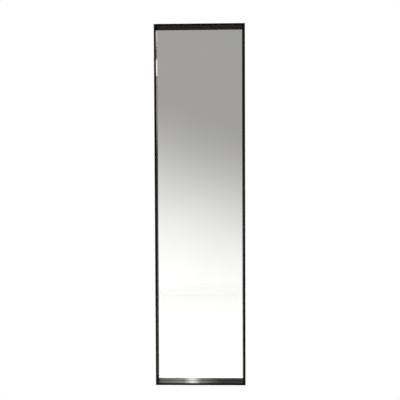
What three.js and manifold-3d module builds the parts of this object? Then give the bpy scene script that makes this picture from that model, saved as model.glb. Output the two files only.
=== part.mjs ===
// Pull out closet mirror: a framed mirror on two ball-bearing slides, with a vertical pivot.
// Millimetres. +Z is up, the glass faces -Y, and the closet's side panel is the plane y = 0.
// The mirror pulls out along +X and then swivels about the pivots near its +X edge.

import * as THREE from 'three';
import { mergeVertices } from 'three/addons/utils/BufferGeometryUtils.js';
import Module from 'manifold-3d';

// Frame outline and the section of its members
const frameWidth = 305;
const frameHeight = 1220;
const lipWidth = 6.9;
const frameWall = 1.4;
const glassRecess = 22;
const mitreGap = 0.1;

// Rear flange and key channel of the frame section
const flangeWidth = 9;
const flangeThickness = 1.3;
const channelLip = 1.3;
const channelSlot = 3.8;

// Glass package
const glassThickness = 3;
const glassEdgeClearance = 1.2;
const glassArris = 0.5;
const tapeThickness = 0.6;
const tapeWidth = 3.2;
const backingThickness = 3;
const backingCornerRadius = 4;

// Spring clips between the backing board and the rear flange
const clipSpace = 1.9;
const clipSteel = 0.5;
const clipLength = 34;
const clipWidth = 13;
const clipHeightShares = [0.2, 0.8];

// Corner keys and their set screws
const keyThickness = 2;
const keyLeg = 46;
const keyScrewDiameter = 3;
const keyScrewSpacing = 15;
const keyScrewSocket = 1.5;

// Clearances
const seatGap = 0.2;
const sideGap = 0.25;
const runningGap = 0.3;
const overrun = 1;

// Mounting plate
const plateThickness = 1.5;
const plateWidth = 110;
const plateEndRoom = 50;
const plateCornerRadius = 10;
const panelHoleDiameter = 5.5;
const panelHoleInset = 16;
const windowCount = 4;
const windowPitch = 130;
const windowWidth = 56;
const windowHeight = 84;
const windowRadius = 12;

// Ball-bearing slides
const slideSpacing = 600;
const slideEndInset = 2.5;
const slideHeight = 45;
const slideDepth = 12.7;
const slideSteel = 1.2;
const slideBend = 1.6;
const slideLip = 3;
const travel = 280;
const outerBallRadius = 1.95;
const innerBallRadius = 1.7;
const ballDepth = 7.5;
const ballsPerRow = 7;
const cageSteel = 0.6;
const cageGap = 0.45;
const cageEndRoom = 15;
const cageMargin = 2.4;
const bufferLength = 5;
const bufferHeight = 24;
const bufferRadius = 1.8;
const accessSlotWidth = 8;
const accessSlotLength = 22;
const accessHoleDiameter = 6;

// Carrier upright
const uprightThickness = 1.5;
const uprightWidth = 30;
const uprightFlange = 9;
const uprightBend = 2.5;
const uprightTabOverlap = 19;
const uprightSlideClearance = 7;
const uprightHoleDiameter = 14;
const uprightHoleCount = 5;
const uprightLead = 2;

// Pivot
const leadingOverhang = 9;
const pivotStandoff = 9.8;
const pivotToFrame = 6;
const boltShoulderDiameter = 5;
const boltThreadDiameter = 4;
const boltHeadDiameter = 8;
const boltHeadHeight = 2.4;
const boltSocket = 3;
const boltTail = 3;
const bushWall = 0.9;
const bushFlange = 1;
const bushFlangeDiameter = 10;
const earRadius = 5.6;

// Brackets
const carrierSheet = 2.5;
const carrierFootHeight = 40;
const mirrorSheet = 2.5;
const mirrorFootHeight = 58;
const mirrorFootWidth = 22;
const mirrorBendInner = 0.6;
const bracketBend = 3.2;
const footCornerRadius = 3;

// Pan-head screws
const screwDiameter = 3.4;
const screwHeadDiameter = 7;
const screwHeadHeight = 2.2;
const screwSocket = 2.2;
const screwSocketDepth = 1.3;
const carrierScrewSpacing = 15;
const carrierScrewTip = 3;
const bracketScrewSpacing = 30;

// Magnet catches
const catchWidth = 20;
const catchHeight = 30;
const catchWall = 2.2;
const catchRadius = 2.5;
const magnetWidth = 10;
const magnetHeight = 22;
const magnetDepth = 6;
const magnetProud = 0.8;

// Roundness of the small parts
const holeSides = 24;
const screwSides = 18;
const socketSides = 6;
const ballSides = 6;
const ballRings = 4;
const bendSteps = 4;

// Depths across the frame section, from its front face
const ledgeBack = glassRecess - tapeThickness - 2 * seatGap;
const glassBack = glassRecess + glassThickness;
const backingFront = glassBack + seatGap;
const backingBack = backingFront + backingThickness;
const flangeFront = backingBack + clipSpace;
const channelFloor = flangeFront + flangeThickness;
const lipFront = channelFloor + keyThickness + 2 * seatGap;
const frameDepth = lipFront + channelLip;
const slotCentre = flangeWidth / 2;
const channelWidth = flangeWidth - 2 * frameWall;

// Depth stations from the closet panel, which is y = 0, to the front
const slideBackY = -plateThickness;
const slideFrontY = slideBackY - slideDepth;
const uprightFrontY = slideFrontY - uprightThickness;
const carrierFrontY = uprightFrontY - carrierSheet;
const pivotY = slideFrontY - pivotStandoff;
const frameBackY = pivotY - pivotToFrame;
const frameFrontY = frameBackY - frameDepth;
const mirrorFootBackY = frameBackY + seatGap + mirrorSheet;

// Stations along the width
const leadingX = frameWidth / 2;
const pivotX = leadingX - leadingOverhang;
const carrierLeadX = pivotX - uprightLead;
const carrierTrailX = carrierLeadX - uprightWidth;
const carrierMiddleX = (carrierLeadX + carrierTrailX) / 2;
const stileSlotX = leadingX - slotCentre;

// The plate runs past both slides, and the slides run the frame's width, short of its outline at both ends
const plateHeight = slideSpacing + 2 * plateEndRoom;
const slideLength = frameWidth - 2 * slideEndInset;

// Radii round the pivot
const bushOuterRadius = boltShoulderDiameter / 2 + sideGap + bushWall;

const wasm = await Module();
wasm.setup();

const axisX = new THREE.Vector3(1, 0, 0);
const axisY = new THREE.Vector3(0, 1, 0);
const axisZ = new THREE.Vector3(0, 0, 1);

const part = new THREE.Group();
const mirror = new THREE.Group();
mirror.position.y = frameFrontY;
part.add(mirror);

// Finishes
const finishes = {
  bronze: { color: 0x2b241e, roughness: 0.3, metalness: 0.85 },
  silvered: { color: 0xc9c8c4, roughness: 0.03, metalness: 1 },
  hardboard: { color: 0x6b4f35, roughness: 0.85, metalness: 0 },
  tape: { color: 0x1a1918, roughness: 0.9, metalness: 0 },
  zinc: { color: 0xb9bcc0, roughness: 0.38, metalness: 0.9 },
  springSteel: { color: 0x8d9094, roughness: 0.3, metalness: 0.95 },
  coated: { color: 0x24211f, roughness: 0.5, metalness: 0.4 },
  darkScrew: { color: 0x1c1b1a, roughness: 0.4, metalness: 0.8 },
  nylon: { color: 0xe7e3d8, roughness: 0.45, metalness: 0 },
  blackPlastic: { color: 0x151515, roughness: 0.55, metalness: 0 },
  magnet: { color: 0x77787b, roughness: 0.35, metalness: 0.9 },
  rubber: { color: 0x1d1c1b, roughness: 0.85, metalness: 0 },
};

// A named mesh with its own material, added to a group
function addPiece(group, name, geometry, finish) {
  const mesh = new THREE.Mesh(geometry, new THREE.MeshStandardMaterial(finishes[finish]));
  mesh.name = name;
  group.add(mesh);
  return mesh;
}

// Closed solid of a geometry, with its shared vertices merged
function toSolid(geometry) {
  const bare = geometry.clone();
  bare.deleteAttribute('normal');
  bare.deleteAttribute('uv');
  const merged = mergeVertices(bare);
  return new wasm.Manifold(new wasm.Mesh({
    numProp: 3,
    vertProperties: merged.attributes.position.array,
    triVerts: merged.index.array,
  }));
}

// Geometry of a solid, with its own normals
function toGeometry(solid) {
  const mesh = solid.getMesh();
  const geometry = new THREE.BufferGeometry();
  geometry.setAttribute('position', new THREE.BufferAttribute(mesh.vertProperties, 3));
  geometry.setIndex(new THREE.BufferAttribute(mesh.triVerts, 1));
  geometry.computeVertexNormals();
  return geometry;
}

// Closed geometries that overlap, joined into one
function joined(geometries) {
  return toGeometry(geometries.map(toSolid).reduce((whole, next) => whole.add(next)));
}

// A closed geometry with others taken out of it
function cut(geometry, cutters) {
  return toGeometry(cutters.map(toSolid).reduce((whole, next) => whole.subtract(next), toSolid(geometry)));
}

// Turns a drawing made in x and y, and extruded along z, to the named axes
function turned(geometry, drawnX, drawnY, extruded) {
  return geometry.applyMatrix4(new THREE.Matrix4().makeBasis(drawnX, drawnY, extruded));
}

// Drawn in y and z, extruded along +X
function alongX(geometry) {
  return turned(geometry, axisY, axisZ, axisX);
}

// Drawn in x and z, extruded from y = 0 towards -Y
function towardsFront(geometry) {
  return turned(geometry, axisX, axisZ, axisY.clone().negate());
}

function extruded(shape, depth, curveSegments = bendSteps) {
  return new THREE.ExtrudeGeometry(shape, { depth, bevelEnabled: false, curveSegments });
}

function block(width, depth, height) {
  return new THREE.BoxGeometry(width, depth, height);
}

function circlePath(x, y, radius) {
  return new THREE.Path().absarc(x, y, radius, 0, 2 * Math.PI, true);
}

// Cylinder with its axis along Y, from y = 0 towards -Y
function rodTowardsFront(radius, length, sides) {
  return new THREE.CylinderGeometry(radius, radius, length, sides).translate(0, -length / 2, 0);
}

// Rectangle with rounded corners, centred on a point
function roundedRectangle(width, height, radius) {
  const x = width / 2;
  const y = height / 2;
  const shape = new THREE.Shape();
  shape.moveTo(-x + radius, -y);
  shape.lineTo(x - radius, -y);
  shape.absarc(x - radius, -y + radius, radius, -Math.PI / 2, 0, false);
  shape.lineTo(x, y - radius);
  shape.absarc(x - radius, y - radius, radius, 0, Math.PI / 2, false);
  shape.lineTo(-x + radius, y);
  shape.absarc(-x + radius, y - radius, radius, Math.PI / 2, Math.PI, false);
  shape.lineTo(-x, -y + radius);
  shape.absarc(-x + radius, -y + radius, radius, Math.PI, 3 * Math.PI / 2, false);
  return shape;
}

// The same outline as a polygon, so that holes in it have a roundness of their own
function roundedPlate(width, height, radius) {
  return new THREE.Shape(roundedRectangle(width, height, radius).getPoints(bendSteps));
}

// A line of points with its corners rounded
function softened(points, radius) {
  const path = new THREE.Path();
  const corners = points.map(([x, y]) => new THREE.Vector2(x, y));
  const last = corners.length - 1;
  path.moveTo(corners[0].x, corners[0].y);
  for (let i = 1; i < last; i += 1) {
    const corner = corners[i];
    const before = corners[i - 1].clone().sub(corner).setLength(radius).add(corner);
    const after = corners[i + 1].clone().sub(corner).setLength(radius).add(corner);
    path.lineTo(before.x, before.y);
    path.quadraticCurveTo(corner.x, corner.y, after.x, after.y);
  }
  path.lineTo(corners[last].x, corners[last].y);
  return path.getPoints(bendSteps);
}

// Outline of a bent strip of sheet, from its centre line
function sheetOutline(centreLine, thickness) {
  const sides = [[], []];
  centreLine.forEach((point, i) => {
    const ahead = centreLine[Math.min(i + 1, centreLine.length - 1)].clone();
    const behind = centreLine[Math.max(i - 1, 0)].clone();
    const incoming = (i ? point.clone().sub(behind) : ahead.clone().sub(point)).normalize();
    const outgoing = (i < centreLine.length - 1 ? ahead.clone().sub(point) : incoming.clone()).normalize();
    const normal = new THREE.Vector2(-incoming.y - outgoing.y, incoming.x + outgoing.x).normalize();
    const reach = thickness / 2 / normal.dot(new THREE.Vector2(-incoming.y, incoming.x));
    sides[0].push(point.clone().addScaledVector(normal, -reach));
    sides[1].unshift(point.clone().addScaledVector(normal, reach));
  });
  return new THREE.Shape([...sides[0], ...sides[1]]);
}

// Upper half of a symmetrical section, mirrored to give the whole centre line
function mirroredSection(upperHalf) {
  const lowerHalf = upperHalf.map(([y, z]) => [y, -z]).reverse();
  return [...lowerHalf, ...upperHalf];
}

// Screw along Y: its head in front of y = 0, its shank behind, with a hexagon socket
function panScrew(shankLength) {
  const head = screwHeadDiameter / 2;
  const shank = screwDiameter / 2;
  const crownShare = 0.62;
  const rimShare = 0.45;
  const profile = [
    [0, -shankLength],
    [shank * crownShare, -shankLength],
    [shank, -shankLength + shank * crownShare],
    [shank, 0],
    [head, 0],
    [head, screwHeadHeight * rimShare],
    [head * crownShare, screwHeadHeight],
    [0, screwHeadHeight],
  ].map(([x, y]) => new THREE.Vector2(x, y));
  const body = new THREE.LatheGeometry(profile, screwSides);
  const socket = new THREE.CylinderGeometry(screwSocket / 2, screwSocket / 2, 2 * screwSocketDepth, socketSides);
  socket.translate(0, screwHeadHeight, 0);
  return cut(body, [socket]).rotateZ(Math.PI);
}

// The frame's section, drawn inward from the outer edge and back from the front face
function frameSection() {
  const shape = new THREE.Shape();
  const inner = flangeWidth - frameWall;
  const slotNear = slotCentre - channelSlot / 2;
  const slotFar = slotCentre + channelSlot / 2;
  shape.moveTo(0, 0);
  shape.lineTo(lipWidth, 0);
  shape.lineTo(lipWidth, ledgeBack);
  shape.lineTo(frameWall, ledgeBack);
  shape.lineTo(frameWall, flangeFront);
  shape.lineTo(flangeWidth, flangeFront);
  shape.lineTo(flangeWidth, frameDepth);
  shape.lineTo(slotFar, frameDepth);
  shape.lineTo(slotFar, lipFront);
  shape.lineTo(inner, lipFront);
  shape.lineTo(inner, channelFloor);
  shape.lineTo(frameWall, channelFloor);
  shape.lineTo(frameWall, lipFront);
  shape.lineTo(slotNear, lipFront);
  shape.lineTo(slotNear, frameDepth);
  shape.lineTo(0, frameDepth);
  const chamber = new THREE.Path();
  chamber.moveTo(frameWall, frameWall);
  chamber.lineTo(frameWall, ledgeBack - frameWall);
  chamber.lineTo(lipWidth - frameWall, ledgeBack - frameWall);
  chamber.lineTo(lipWidth - frameWall, frameWall);
  shape.holes.push(chamber);
  return shape;
}

// A frame member whose ends are mitred: each end steps in by the distance from the outer edge
function frameMember(length) {
  const geometry = extruded(frameSection(), length);
  const places = geometry.attributes.position;
  for (let i = 0; i < places.count; i += 1) {
    const inward = places.getX(i) + mitreGap;
    places.setZ(i, places.getZ(i) > length / 2 ? length - inward : inward);
  }
  return geometry;
}

// L-shaped key that lies in the rear channels of the two members of a corner
function cornerKey() {
  const half = channelWidth / 2 - sideGap;
  const near = slotCentre - half;
  const far = slotCentre + half;
  const end = slotCentre + keyLeg;
  const shape = new THREE.Shape();
  shape.moveTo(near, near);
  shape.lineTo(end, near);
  shape.lineTo(end, far);
  shape.lineTo(far, far);
  shape.lineTo(far, end);
  shape.lineTo(near, end);
  for (const [x, z] of keyScrewPlaces()) {
    shape.holes.push(circlePath(x, z, keyScrewDiameter / 2 + sideGap));
  }
  return towardsFront(extruded(shape, keyThickness, holeSides / 2));
}

// One screw on each leg of the key
function keyScrewPlaces() {
  const along = slotCentre + keyLeg - keyScrewSpacing;
  return [[slotCentre, along], [along, slotCentre]];
}

// Set screw from the channel's floor to the frame's back face
function keyScrew() {
  const length = frameDepth - channelFloor - seatGap;
  const body = new THREE.CylinderGeometry(keyScrewDiameter / 2, keyScrewDiameter / 2, length, screwSides);
  const socket = new THREE.CylinderGeometry(keyScrewSocket / 2, keyScrewSocket / 2, length, socketSides);
  return cut(body, [socket.translate(0, length / 2, 0)]).translate(0, frameDepth - length / 2, 0);
}

// Bowed strip that pushes the backing board away from the rear flange
function springClip() {
  const near = backingBack + seatGap + clipSteel / 2;
  const crown = flangeFront - seatGap - clipSteel / 2;
  const half = clipLength / 2;
  const tip = clipSteel * 2;
  const bow = new THREE.Path();
  bow.moveTo(near + clipSteel, -half - tip);
  bow.lineTo(near, -half);
  bow.quadraticCurveTo(2 * crown - near, 0, near, half);
  bow.lineTo(near + clipSteel, half + tip);
  return alongX(extruded(sheetOutline(bow.getPoints(2 * bendSteps), clipSteel), clipWidth));
}

// Frame, corner by corner. In a corner's group x runs along one member, z along the next, y to the back.
const corners = [
  { corner: 'bottom_left', member: 'frame_left_stile', length: frameHeight, sideX: -1, sideZ: -1, turn: 0 },
  { corner: 'bottom_right', member: 'frame_bottom_rail', length: frameWidth, sideX: 1, sideZ: -1, turn: -1 },
  { corner: 'top_right', member: 'frame_right_stile', length: frameHeight, sideX: 1, sideZ: 1, turn: 2 },
  { corner: 'top_left', member: 'frame_top_rail', length: frameWidth, sideX: -1, sideZ: 1, turn: 1 },
];

for (const { corner, member, length, sideX, sideZ, turn } of corners) {
  const group = new THREE.Group();
  group.position.set(sideX * frameWidth / 2, 0, sideZ * frameHeight / 2);
  group.rotation.y = turn * Math.PI / 2;
  mirror.add(group);
  addPiece(group, member, frameMember(length), 'bronze');
  const key = addPiece(group, `corner_key_${corner}`, cornerKey(), 'zinc');
  key.position.y = channelFloor + seatGap + keyThickness;
  keyScrewPlaces().forEach(([x, z], i) => {
    const screw = addPiece(group, `key_screw_${corner}_${i + 1}`, keyScrew(), 'darkScrew');
    screw.position.x = x;
    screw.position.z = z;
  });
  if (length === frameHeight) {
    clipHeightShares.forEach((share, i) => {
      const side = sideX < 0 ? 'left' : 'right';
      const clip = addPiece(group, `spring_clip_${side}_${i + 1}`, springClip(), 'springSteel');
      clip.position.x = frameWall + sideGap;
      clip.position.z = length * share;
    });
  }
}

// Glass package
const glassWidth = frameWidth - 2 * (frameWall + glassEdgeClearance);
const glassHeight = frameHeight - 2 * (frameWall + glassEdgeClearance);

function glassSheet() {
  const shape = roundedRectangle(glassWidth - 2 * glassArris, glassHeight - 2 * glassArris, glassArris);
  const sheet = new THREE.ExtrudeGeometry(shape, {
    depth: glassThickness - 2 * glassArris,
    bevelEnabled: true,
    bevelThickness: glassArris,
    bevelSize: glassArris,
    bevelSegments: 1,
    curveSegments: 1,
  });
  return towardsFront(sheet.translate(0, 0, glassArris));
}

function backingSheet() {
  const shape = roundedRectangle(glassWidth, glassHeight, backingCornerRadius);
  return towardsFront(extruded(shape, backingThickness));
}

// Tape that runs round under the frame's ledge, in front of the glass
function tapeRing() {
  const width = glassWidth - 2 * seatGap;
  const height = glassHeight - 2 * seatGap;
  const ring = roundedRectangle(width, height, tapeThickness);
  ring.holes.push(roundedRectangle(width - 2 * tapeWidth, height - 2 * tapeWidth, tapeThickness));
  return towardsFront(extruded(ring, tapeThickness, 1));
}

addPiece(mirror, 'mirror_glass', glassSheet(), 'silvered').position.y = glassBack;
addPiece(mirror, 'backing_board', backingSheet(), 'hardboard').position.y = backingBack;
addPiece(mirror, 'glazing_tape', tapeRing(), 'tape').position.y = ledgeBack + seatGap + tapeThickness;

// Mounting plate on the closet's side panel
function mountingPlate() {
  const shape = roundedPlate(plateWidth, plateHeight, plateCornerRadius);
  for (const sideX of [-1, 1]) {
    for (const sideZ of [-1, 1]) {
      const x = sideX * (plateWidth / 2 - panelHoleInset);
      const z = sideZ * (plateHeight / 2 - panelHoleInset);
      shape.holes.push(circlePath(x, z, panelHoleDiameter / 2));
    }
  }
  for (let i = 0; i < windowCount; i += 1) {
    const middleZ = (i - (windowCount - 1) / 2) * windowPitch;
    const corners = roundedRectangle(windowWidth, windowHeight, windowRadius).getPoints(bendSteps);
    shape.holes.push(new THREE.Path(corners.map((point) => point.setY(point.y + middleZ)).reverse()));
  }
  return towardsFront(extruded(shape, plateThickness, holeSides / 2));
}

addPiece(part, 'mounting_plate', mountingPlate(), 'coated');

// Sections of the slide members, drawn in depth from the slide's back and in height
const cabinetFlange = slideHeight / 2 - slideSteel / 2;
const outerBallHeight = cabinetFlange - slideSteel / 2 - runningGap - outerBallRadius;
const middleFlange = outerBallHeight - outerBallRadius - runningGap - slideSteel / 2;
const innerBallHeight = middleFlange - slideSteel / 2 - runningGap - innerBallRadius;
const innerFlange = innerBallHeight - innerBallRadius - runningGap - slideSteel / 2;
const outerCageDepth = slideSteel + cageGap + cageSteel / 2;
const middleWebDepth = outerCageDepth + cageSteel / 2 + cageGap + slideSteel / 2;
const innerCageDepth = middleWebDepth + slideSteel / 2 + cageGap + cageSteel / 2;
const innerFlangeDepth = innerCageDepth + cageSteel / 2 + cageGap;
const innerWebDepth = slideDepth - slideSteel / 2;
const cabinetLipDepth = slideDepth - slideSteel;

// Lengths along a slide: a cage fits the overlap that two members keep at full travel
const memberLength = slideLength - bufferLength - 2 * seatGap;
const memberStart = slideLength / 2 - memberLength;
const cageLength = memberLength - travel / 2 - cageEndRoom;
const cageStart = memberStart + (memberLength - cageLength) / 2;

const cabinetSection = mirroredSection([
  [-slideSteel / 2, cabinetFlange],
  [-cabinetLipDepth, cabinetFlange],
  [-cabinetLipDepth, cabinetFlange - slideLip],
]);
const middleSection = mirroredSection([
  [-middleWebDepth, middleFlange],
  [-cabinetLipDepth, middleFlange],
]);
// An inner member's web is at the front, so its centre line runs from one flange tip to the other
const innerSection = [
  [-innerFlangeDepth, -innerFlange],
  [-innerWebDepth, -innerFlange],
  [-innerWebDepth, innerFlange],
  [-innerFlangeDepth, innerFlange],
];

function slideMember(centreLine, length) {
  return alongX(extruded(sheetOutline(softened(centreLine, slideBend), slideSteel), length));
}

// A U-shaped strip that carries a row of balls above and a row below
function ballCage(webDepth, ballHeight, ballRadius) {
  const tip = ballDepth + ballRadius + cageMargin / 2;
  const centreLine = mirroredSection([[-webDepth, ballHeight], [-tip, ballHeight]]);
  const strip = alongX(extruded(sheetOutline(softened(centreLine, cageSteel), cageSteel), cageLength));
  const pitch = (cageLength - 2 * cageMargin - 2 * ballRadius) / (ballsPerRow - 1);
  const solids = [strip];
  for (let i = 0; i < ballsPerRow; i += 1) {
    for (const side of [-1, 1]) {
      const ball = new THREE.SphereGeometry(ballRadius, ballSides, ballRings);
      solids.push(ball.translate(cageMargin + ballRadius + i * pitch, -ballDepth, side * ballHeight));
    }
  }
  return joined(solids);
}

// Slots and holes in a cabinet member's web
function cabinetMember() {
  const body = slideMember(cabinetSection, slideLength);
  const cutters = [];
  for (const side of [-1, 1]) {
    const slot = roundedRectangle(accessSlotLength, accessSlotWidth, accessSlotWidth / 2 - seatGap);
    const slotX = slideLength / 2 + side * (plateWidth / 2 + accessSlotLength);
    const holeX = slotX + side * (accessSlotLength / 2 + 2 * accessHoleDiameter);
    cutters.push(towardsFront(extruded(slot, slideSteel + 2 * overrun)).translate(slotX, overrun, 0));
    const hole = rodTowardsFront(accessHoleDiameter / 2, slideSteel + 2 * overrun, holeSides);
    cutters.push(hole.translate(holeX, overrun, 0));
  }
  return cut(body, cutters);
}

// Holes for the two carrier screws, which sit side by side at each slide
const carrierScrewXs = [carrierMiddleX + carrierScrewSpacing / 2, carrierMiddleX - carrierScrewSpacing / 2];

function carrierScrewHoles(backY, thickness, z) {
  return carrierScrewXs.map((x) => {
    const rod = rodTowardsFront(screwDiameter / 2 + sideGap, thickness + 2 * overrun, holeSides);
    return rod.translate(x, backY + overrun, z);
  });
}

function innerMember() {
  const body = slideMember(innerSection, memberLength).translate(memberStart, slideBackY, 0);
  return cut(body, carrierScrewHoles(slideFrontY + slideSteel, slideSteel, 0));
}

function rearBuffer() {
  const depth = innerWebDepth - slideSteel - 2 * seatGap;
  const section = roundedRectangle(depth, bufferHeight, bufferRadius);
  return alongX(extruded(section, bufferLength)).translate(0, -slideSteel - seatGap - depth / 2, 0);
}

// Pivot levels above a slide's middle
const carrierEarTop = carrierFootHeight / 2;
const bushFlangeBottom = carrierEarTop + seatGap;
const mirrorEarBottom = bushFlangeBottom + bushFlange + seatGap;
const mirrorEarTop = mirrorEarBottom + mirrorSheet;
const boltHeadBottom = mirrorEarTop + seatGap;
const boltHeadTop = boltHeadBottom + boltHeadHeight;
const boltTailBottom = carrierEarTop - carrierSheet - boltTail;

// Shoulder bolt, along Z from the tail below the carrier's ear to the head above the mirror's ear
function pivotBolt() {
  const shoulderBottom = carrierEarTop + seatGap;
  const head = boltHeadDiameter / 2;
  const rimShare = 0.86;
  const profile = [
    [0, boltTailBottom],
    [boltThreadDiameter / 2, boltTailBottom],
    [boltThreadDiameter / 2, shoulderBottom],
    [boltShoulderDiameter / 2, shoulderBottom],
    [boltShoulderDiameter / 2, boltHeadBottom],
    [head, boltHeadBottom],
    [head, boltHeadBottom + boltHeadHeight * rimShare],
    [head * rimShare, boltHeadTop],
    [0, boltHeadTop],
  ].map(([x, y]) => new THREE.Vector2(x, y));
  const socket = new THREE.CylinderGeometry(boltSocket / 2, boltSocket / 2, boltHeadHeight, socketSides);
  socket.translate(0, boltHeadTop, 0);
  return cut(new THREE.LatheGeometry(profile, screwSides), [socket]).rotateX(Math.PI / 2);
}

// Flanged bush: its flange runs between the ears and its sleeve lines the mirror's ear
function pivotBush() {
  const bore = boltShoulderDiameter / 2 + sideGap;
  const profile = [
    [bore, bushFlangeBottom],
    [bushFlangeDiameter / 2, bushFlangeBottom],
    [bushFlangeDiameter / 2, bushFlangeBottom + bushFlange],
    [bushOuterRadius, bushFlangeBottom + bushFlange],
    [bushOuterRadius, mirrorEarTop],
    [bore, mirrorEarTop],
    [bore, bushFlangeBottom],
  ].map(([x, y]) => new THREE.Vector2(x, y));
  return new THREE.LatheGeometry(profile, holeSides).rotateX(Math.PI / 2);
}

// Carrier bracket: a foot on the upright, bent over at the top into the ear that holds the bolt
function carrierBracket() {
  const footMiddleY = uprightFrontY - carrierSheet / 2;
  const earMiddle = carrierEarTop - carrierSheet / 2;
  const earStartY = carrierFrontY - bracketBend;
  const bend = [
    [footMiddleY, -carrierFootHeight / 2],
    [footMiddleY, earMiddle],
    [earStartY, earMiddle],
  ];
  const outline = sheetOutline(softened(bend, bracketBend - carrierSheet / 2), carrierSheet);
  const angle = alongX(extruded(outline, uprightWidth)).translate(carrierTrailX, 0, 0);
  const ear = new THREE.Shape();
  ear.moveTo(carrierTrailX, earStartY + overrun);
  ear.lineTo(carrierTrailX, earStartY);
  ear.lineTo(pivotX - earRadius, pivotY - earRadius / 2);
  ear.absarc(pivotX, pivotY, earRadius, Math.PI, 2 * Math.PI, false);
  ear.lineTo(carrierLeadX, earStartY + overrun);
  const tongue = extruded(ear, carrierSheet, holeSides / 2).translate(0, 0, carrierEarTop - carrierSheet);
  const bore = new THREE.CylinderGeometry(
    boltThreadDiameter / 2 + sideGap, boltThreadDiameter / 2 + sideGap, carrierSheet + 2 * overrun, holeSides,
  );
  bore.rotateX(Math.PI / 2).translate(pivotX, pivotY, earMiddle);
  return cut(joined([angle, tongue]), [bore, ...carrierScrewHoles(uprightFrontY, carrierSheet, 0)]);
}

// Holes for the mirror bracket's screws, above the pivot's ear
const bracketScrewZs = [
  mirrorEarBottom + (mirrorFootHeight - bracketScrewSpacing) / 2 + bracketBend,
  mirrorEarBottom + (mirrorFootHeight + bracketScrewSpacing) / 2 + bracketBend,
];

// Mirror bracket: a foot behind the leading stile, bent back at the bottom into the ear round the bush,
// with a relief above the ear for the bolt's head
function mirrorBracket() {
  const footMiddleY = mirrorFootBackY - mirrorSheet / 2;
  const earMiddle = mirrorEarBottom + mirrorSheet / 2;
  const earStartY = mirrorFootBackY + mirrorBendInner;
  const footTrailX = leadingX - seatGap - mirrorFootWidth;
  const footBottom = mirrorEarTop + mirrorSheet / 2;
  const footHeight = mirrorEarBottom + mirrorFootHeight - footBottom;
  const bend = [
    [footMiddleY, footBottom + mirrorSheet],
    [footMiddleY, earMiddle],
    [earStartY + overrun, earMiddle],
  ];
  const outline = sheetOutline(softened(bend, mirrorSheet / 2 + mirrorBendInner), mirrorSheet);
  const angle = alongX(extruded(outline, 2 * earRadius)).translate(pivotX - earRadius, 0, 0);
  const ear = new THREE.Shape();
  ear.moveTo(pivotX - earRadius, earStartY + overrun / 2);
  ear.lineTo(pivotX + earRadius, earStartY + overrun / 2);
  ear.absarc(pivotX, pivotY, earRadius, 0, Math.PI, false);
  const tongue = extruded(ear, mirrorSheet, holeSides / 2).translate(0, 0, mirrorEarBottom);
  const foot = roundedRectangle(mirrorFootWidth, footHeight, footCornerRadius);
  const plate = towardsFront(extruded(foot, mirrorSheet)).translate(
    footTrailX + mirrorFootWidth / 2,
    mirrorFootBackY,
    footBottom + footHeight / 2,
  );
  const boreRadius = bushOuterRadius + sideGap;
  const bore = new THREE.CylinderGeometry(boreRadius, boreRadius, mirrorSheet + 2 * overrun, holeSides);
  bore.rotateX(Math.PI / 2).translate(pivotX, pivotY, earMiddle);
  const reliefLength = boltHeadTop - boltTailBottom + boltHeadHeight;
  const reliefRadius = boltHeadDiameter / 2 + runningGap;
  const relief = new THREE.CylinderGeometry(reliefRadius, reliefRadius, reliefLength, holeSides);
  relief.rotateX(Math.PI / 2).translate(pivotX, pivotY, mirrorEarTop + (seatGap + reliefLength) / 2);
  const holes = bracketScrewZs.map((z) => {
    const rod = rodTowardsFront(screwDiameter / 2 + sideGap, mirrorSheet + 2 * overrun, holeSides);
    return rod.translate(stileSlotX, mirrorFootBackY + overrun, z);
  });
  return cut(joined([angle, plate, tongue]), [bore, relief, ...holes]);
}

// Strip with two screw holes that lies in the leading stile's channel behind the bracket
function nutStrip() {
  const width = channelWidth - 2 * sideGap;
  const shape = roundedPlate(width, bracketScrewSpacing + 2 * width, seatGap);
  for (const side of [-1, 1]) {
    shape.holes.push(circlePath(0, side * bracketScrewSpacing / 2, screwDiameter / 2 + sideGap));
  }
  return towardsFront(extruded(shape, keyThickness, holeSides / 2));
}

// Magnet's place: its face rests on the inner member's web
const magnetX = -leadingX + seatGap + catchWidth - catchWall - magnetWidth / 2;
const magnetFaceY = slideFrontY - runningGap;
const catchBlockDepth = magnetFaceY - magnetProud - frameBackY - seatGap;
const magnetLength = magnetDepth - seatGap + magnetProud;

// Catch housing: a block behind the trailing stile with a foot in the stile's channel
function catchHousing() {
  const trailX = -leadingX + seatGap;
  const middleX = trailX + catchWidth / 2;
  const backY = frameBackY + seatGap + catchBlockDepth;
  const body = roundedRectangle(catchWidth, catchHeight, catchRadius);
  const shell = towardsFront(extruded(body, catchBlockDepth)).translate(middleX, backY, 0);
  const neckX = -leadingX + slotCentre;
  const neckDepth = seatGap + channelLip + seatGap + overrun;
  const neck = block(channelSlot - 2 * sideGap, neckDepth, catchHeight / 2);
  neck.translate(neckX, frameBackY + seatGap + overrun - neckDepth / 2, 0);
  const footDepth = lipFront - channelFloor - 2 * seatGap;
  const foot = block(channelWidth - 2 * sideGap, footDepth, catchHeight / 2);
  foot.translate(neckX, frameFrontY + lipFront - seatGap - footDepth / 2, 0);
  const pocket = block(magnetWidth + 2 * sideGap, magnetDepth + overrun, magnetHeight + 2 * sideGap);
  pocket.translate(magnetX, backY - (magnetDepth - overrun) / 2, 0);
  return cut(joined([shell, neck, foot]), [pocket]);
}

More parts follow.
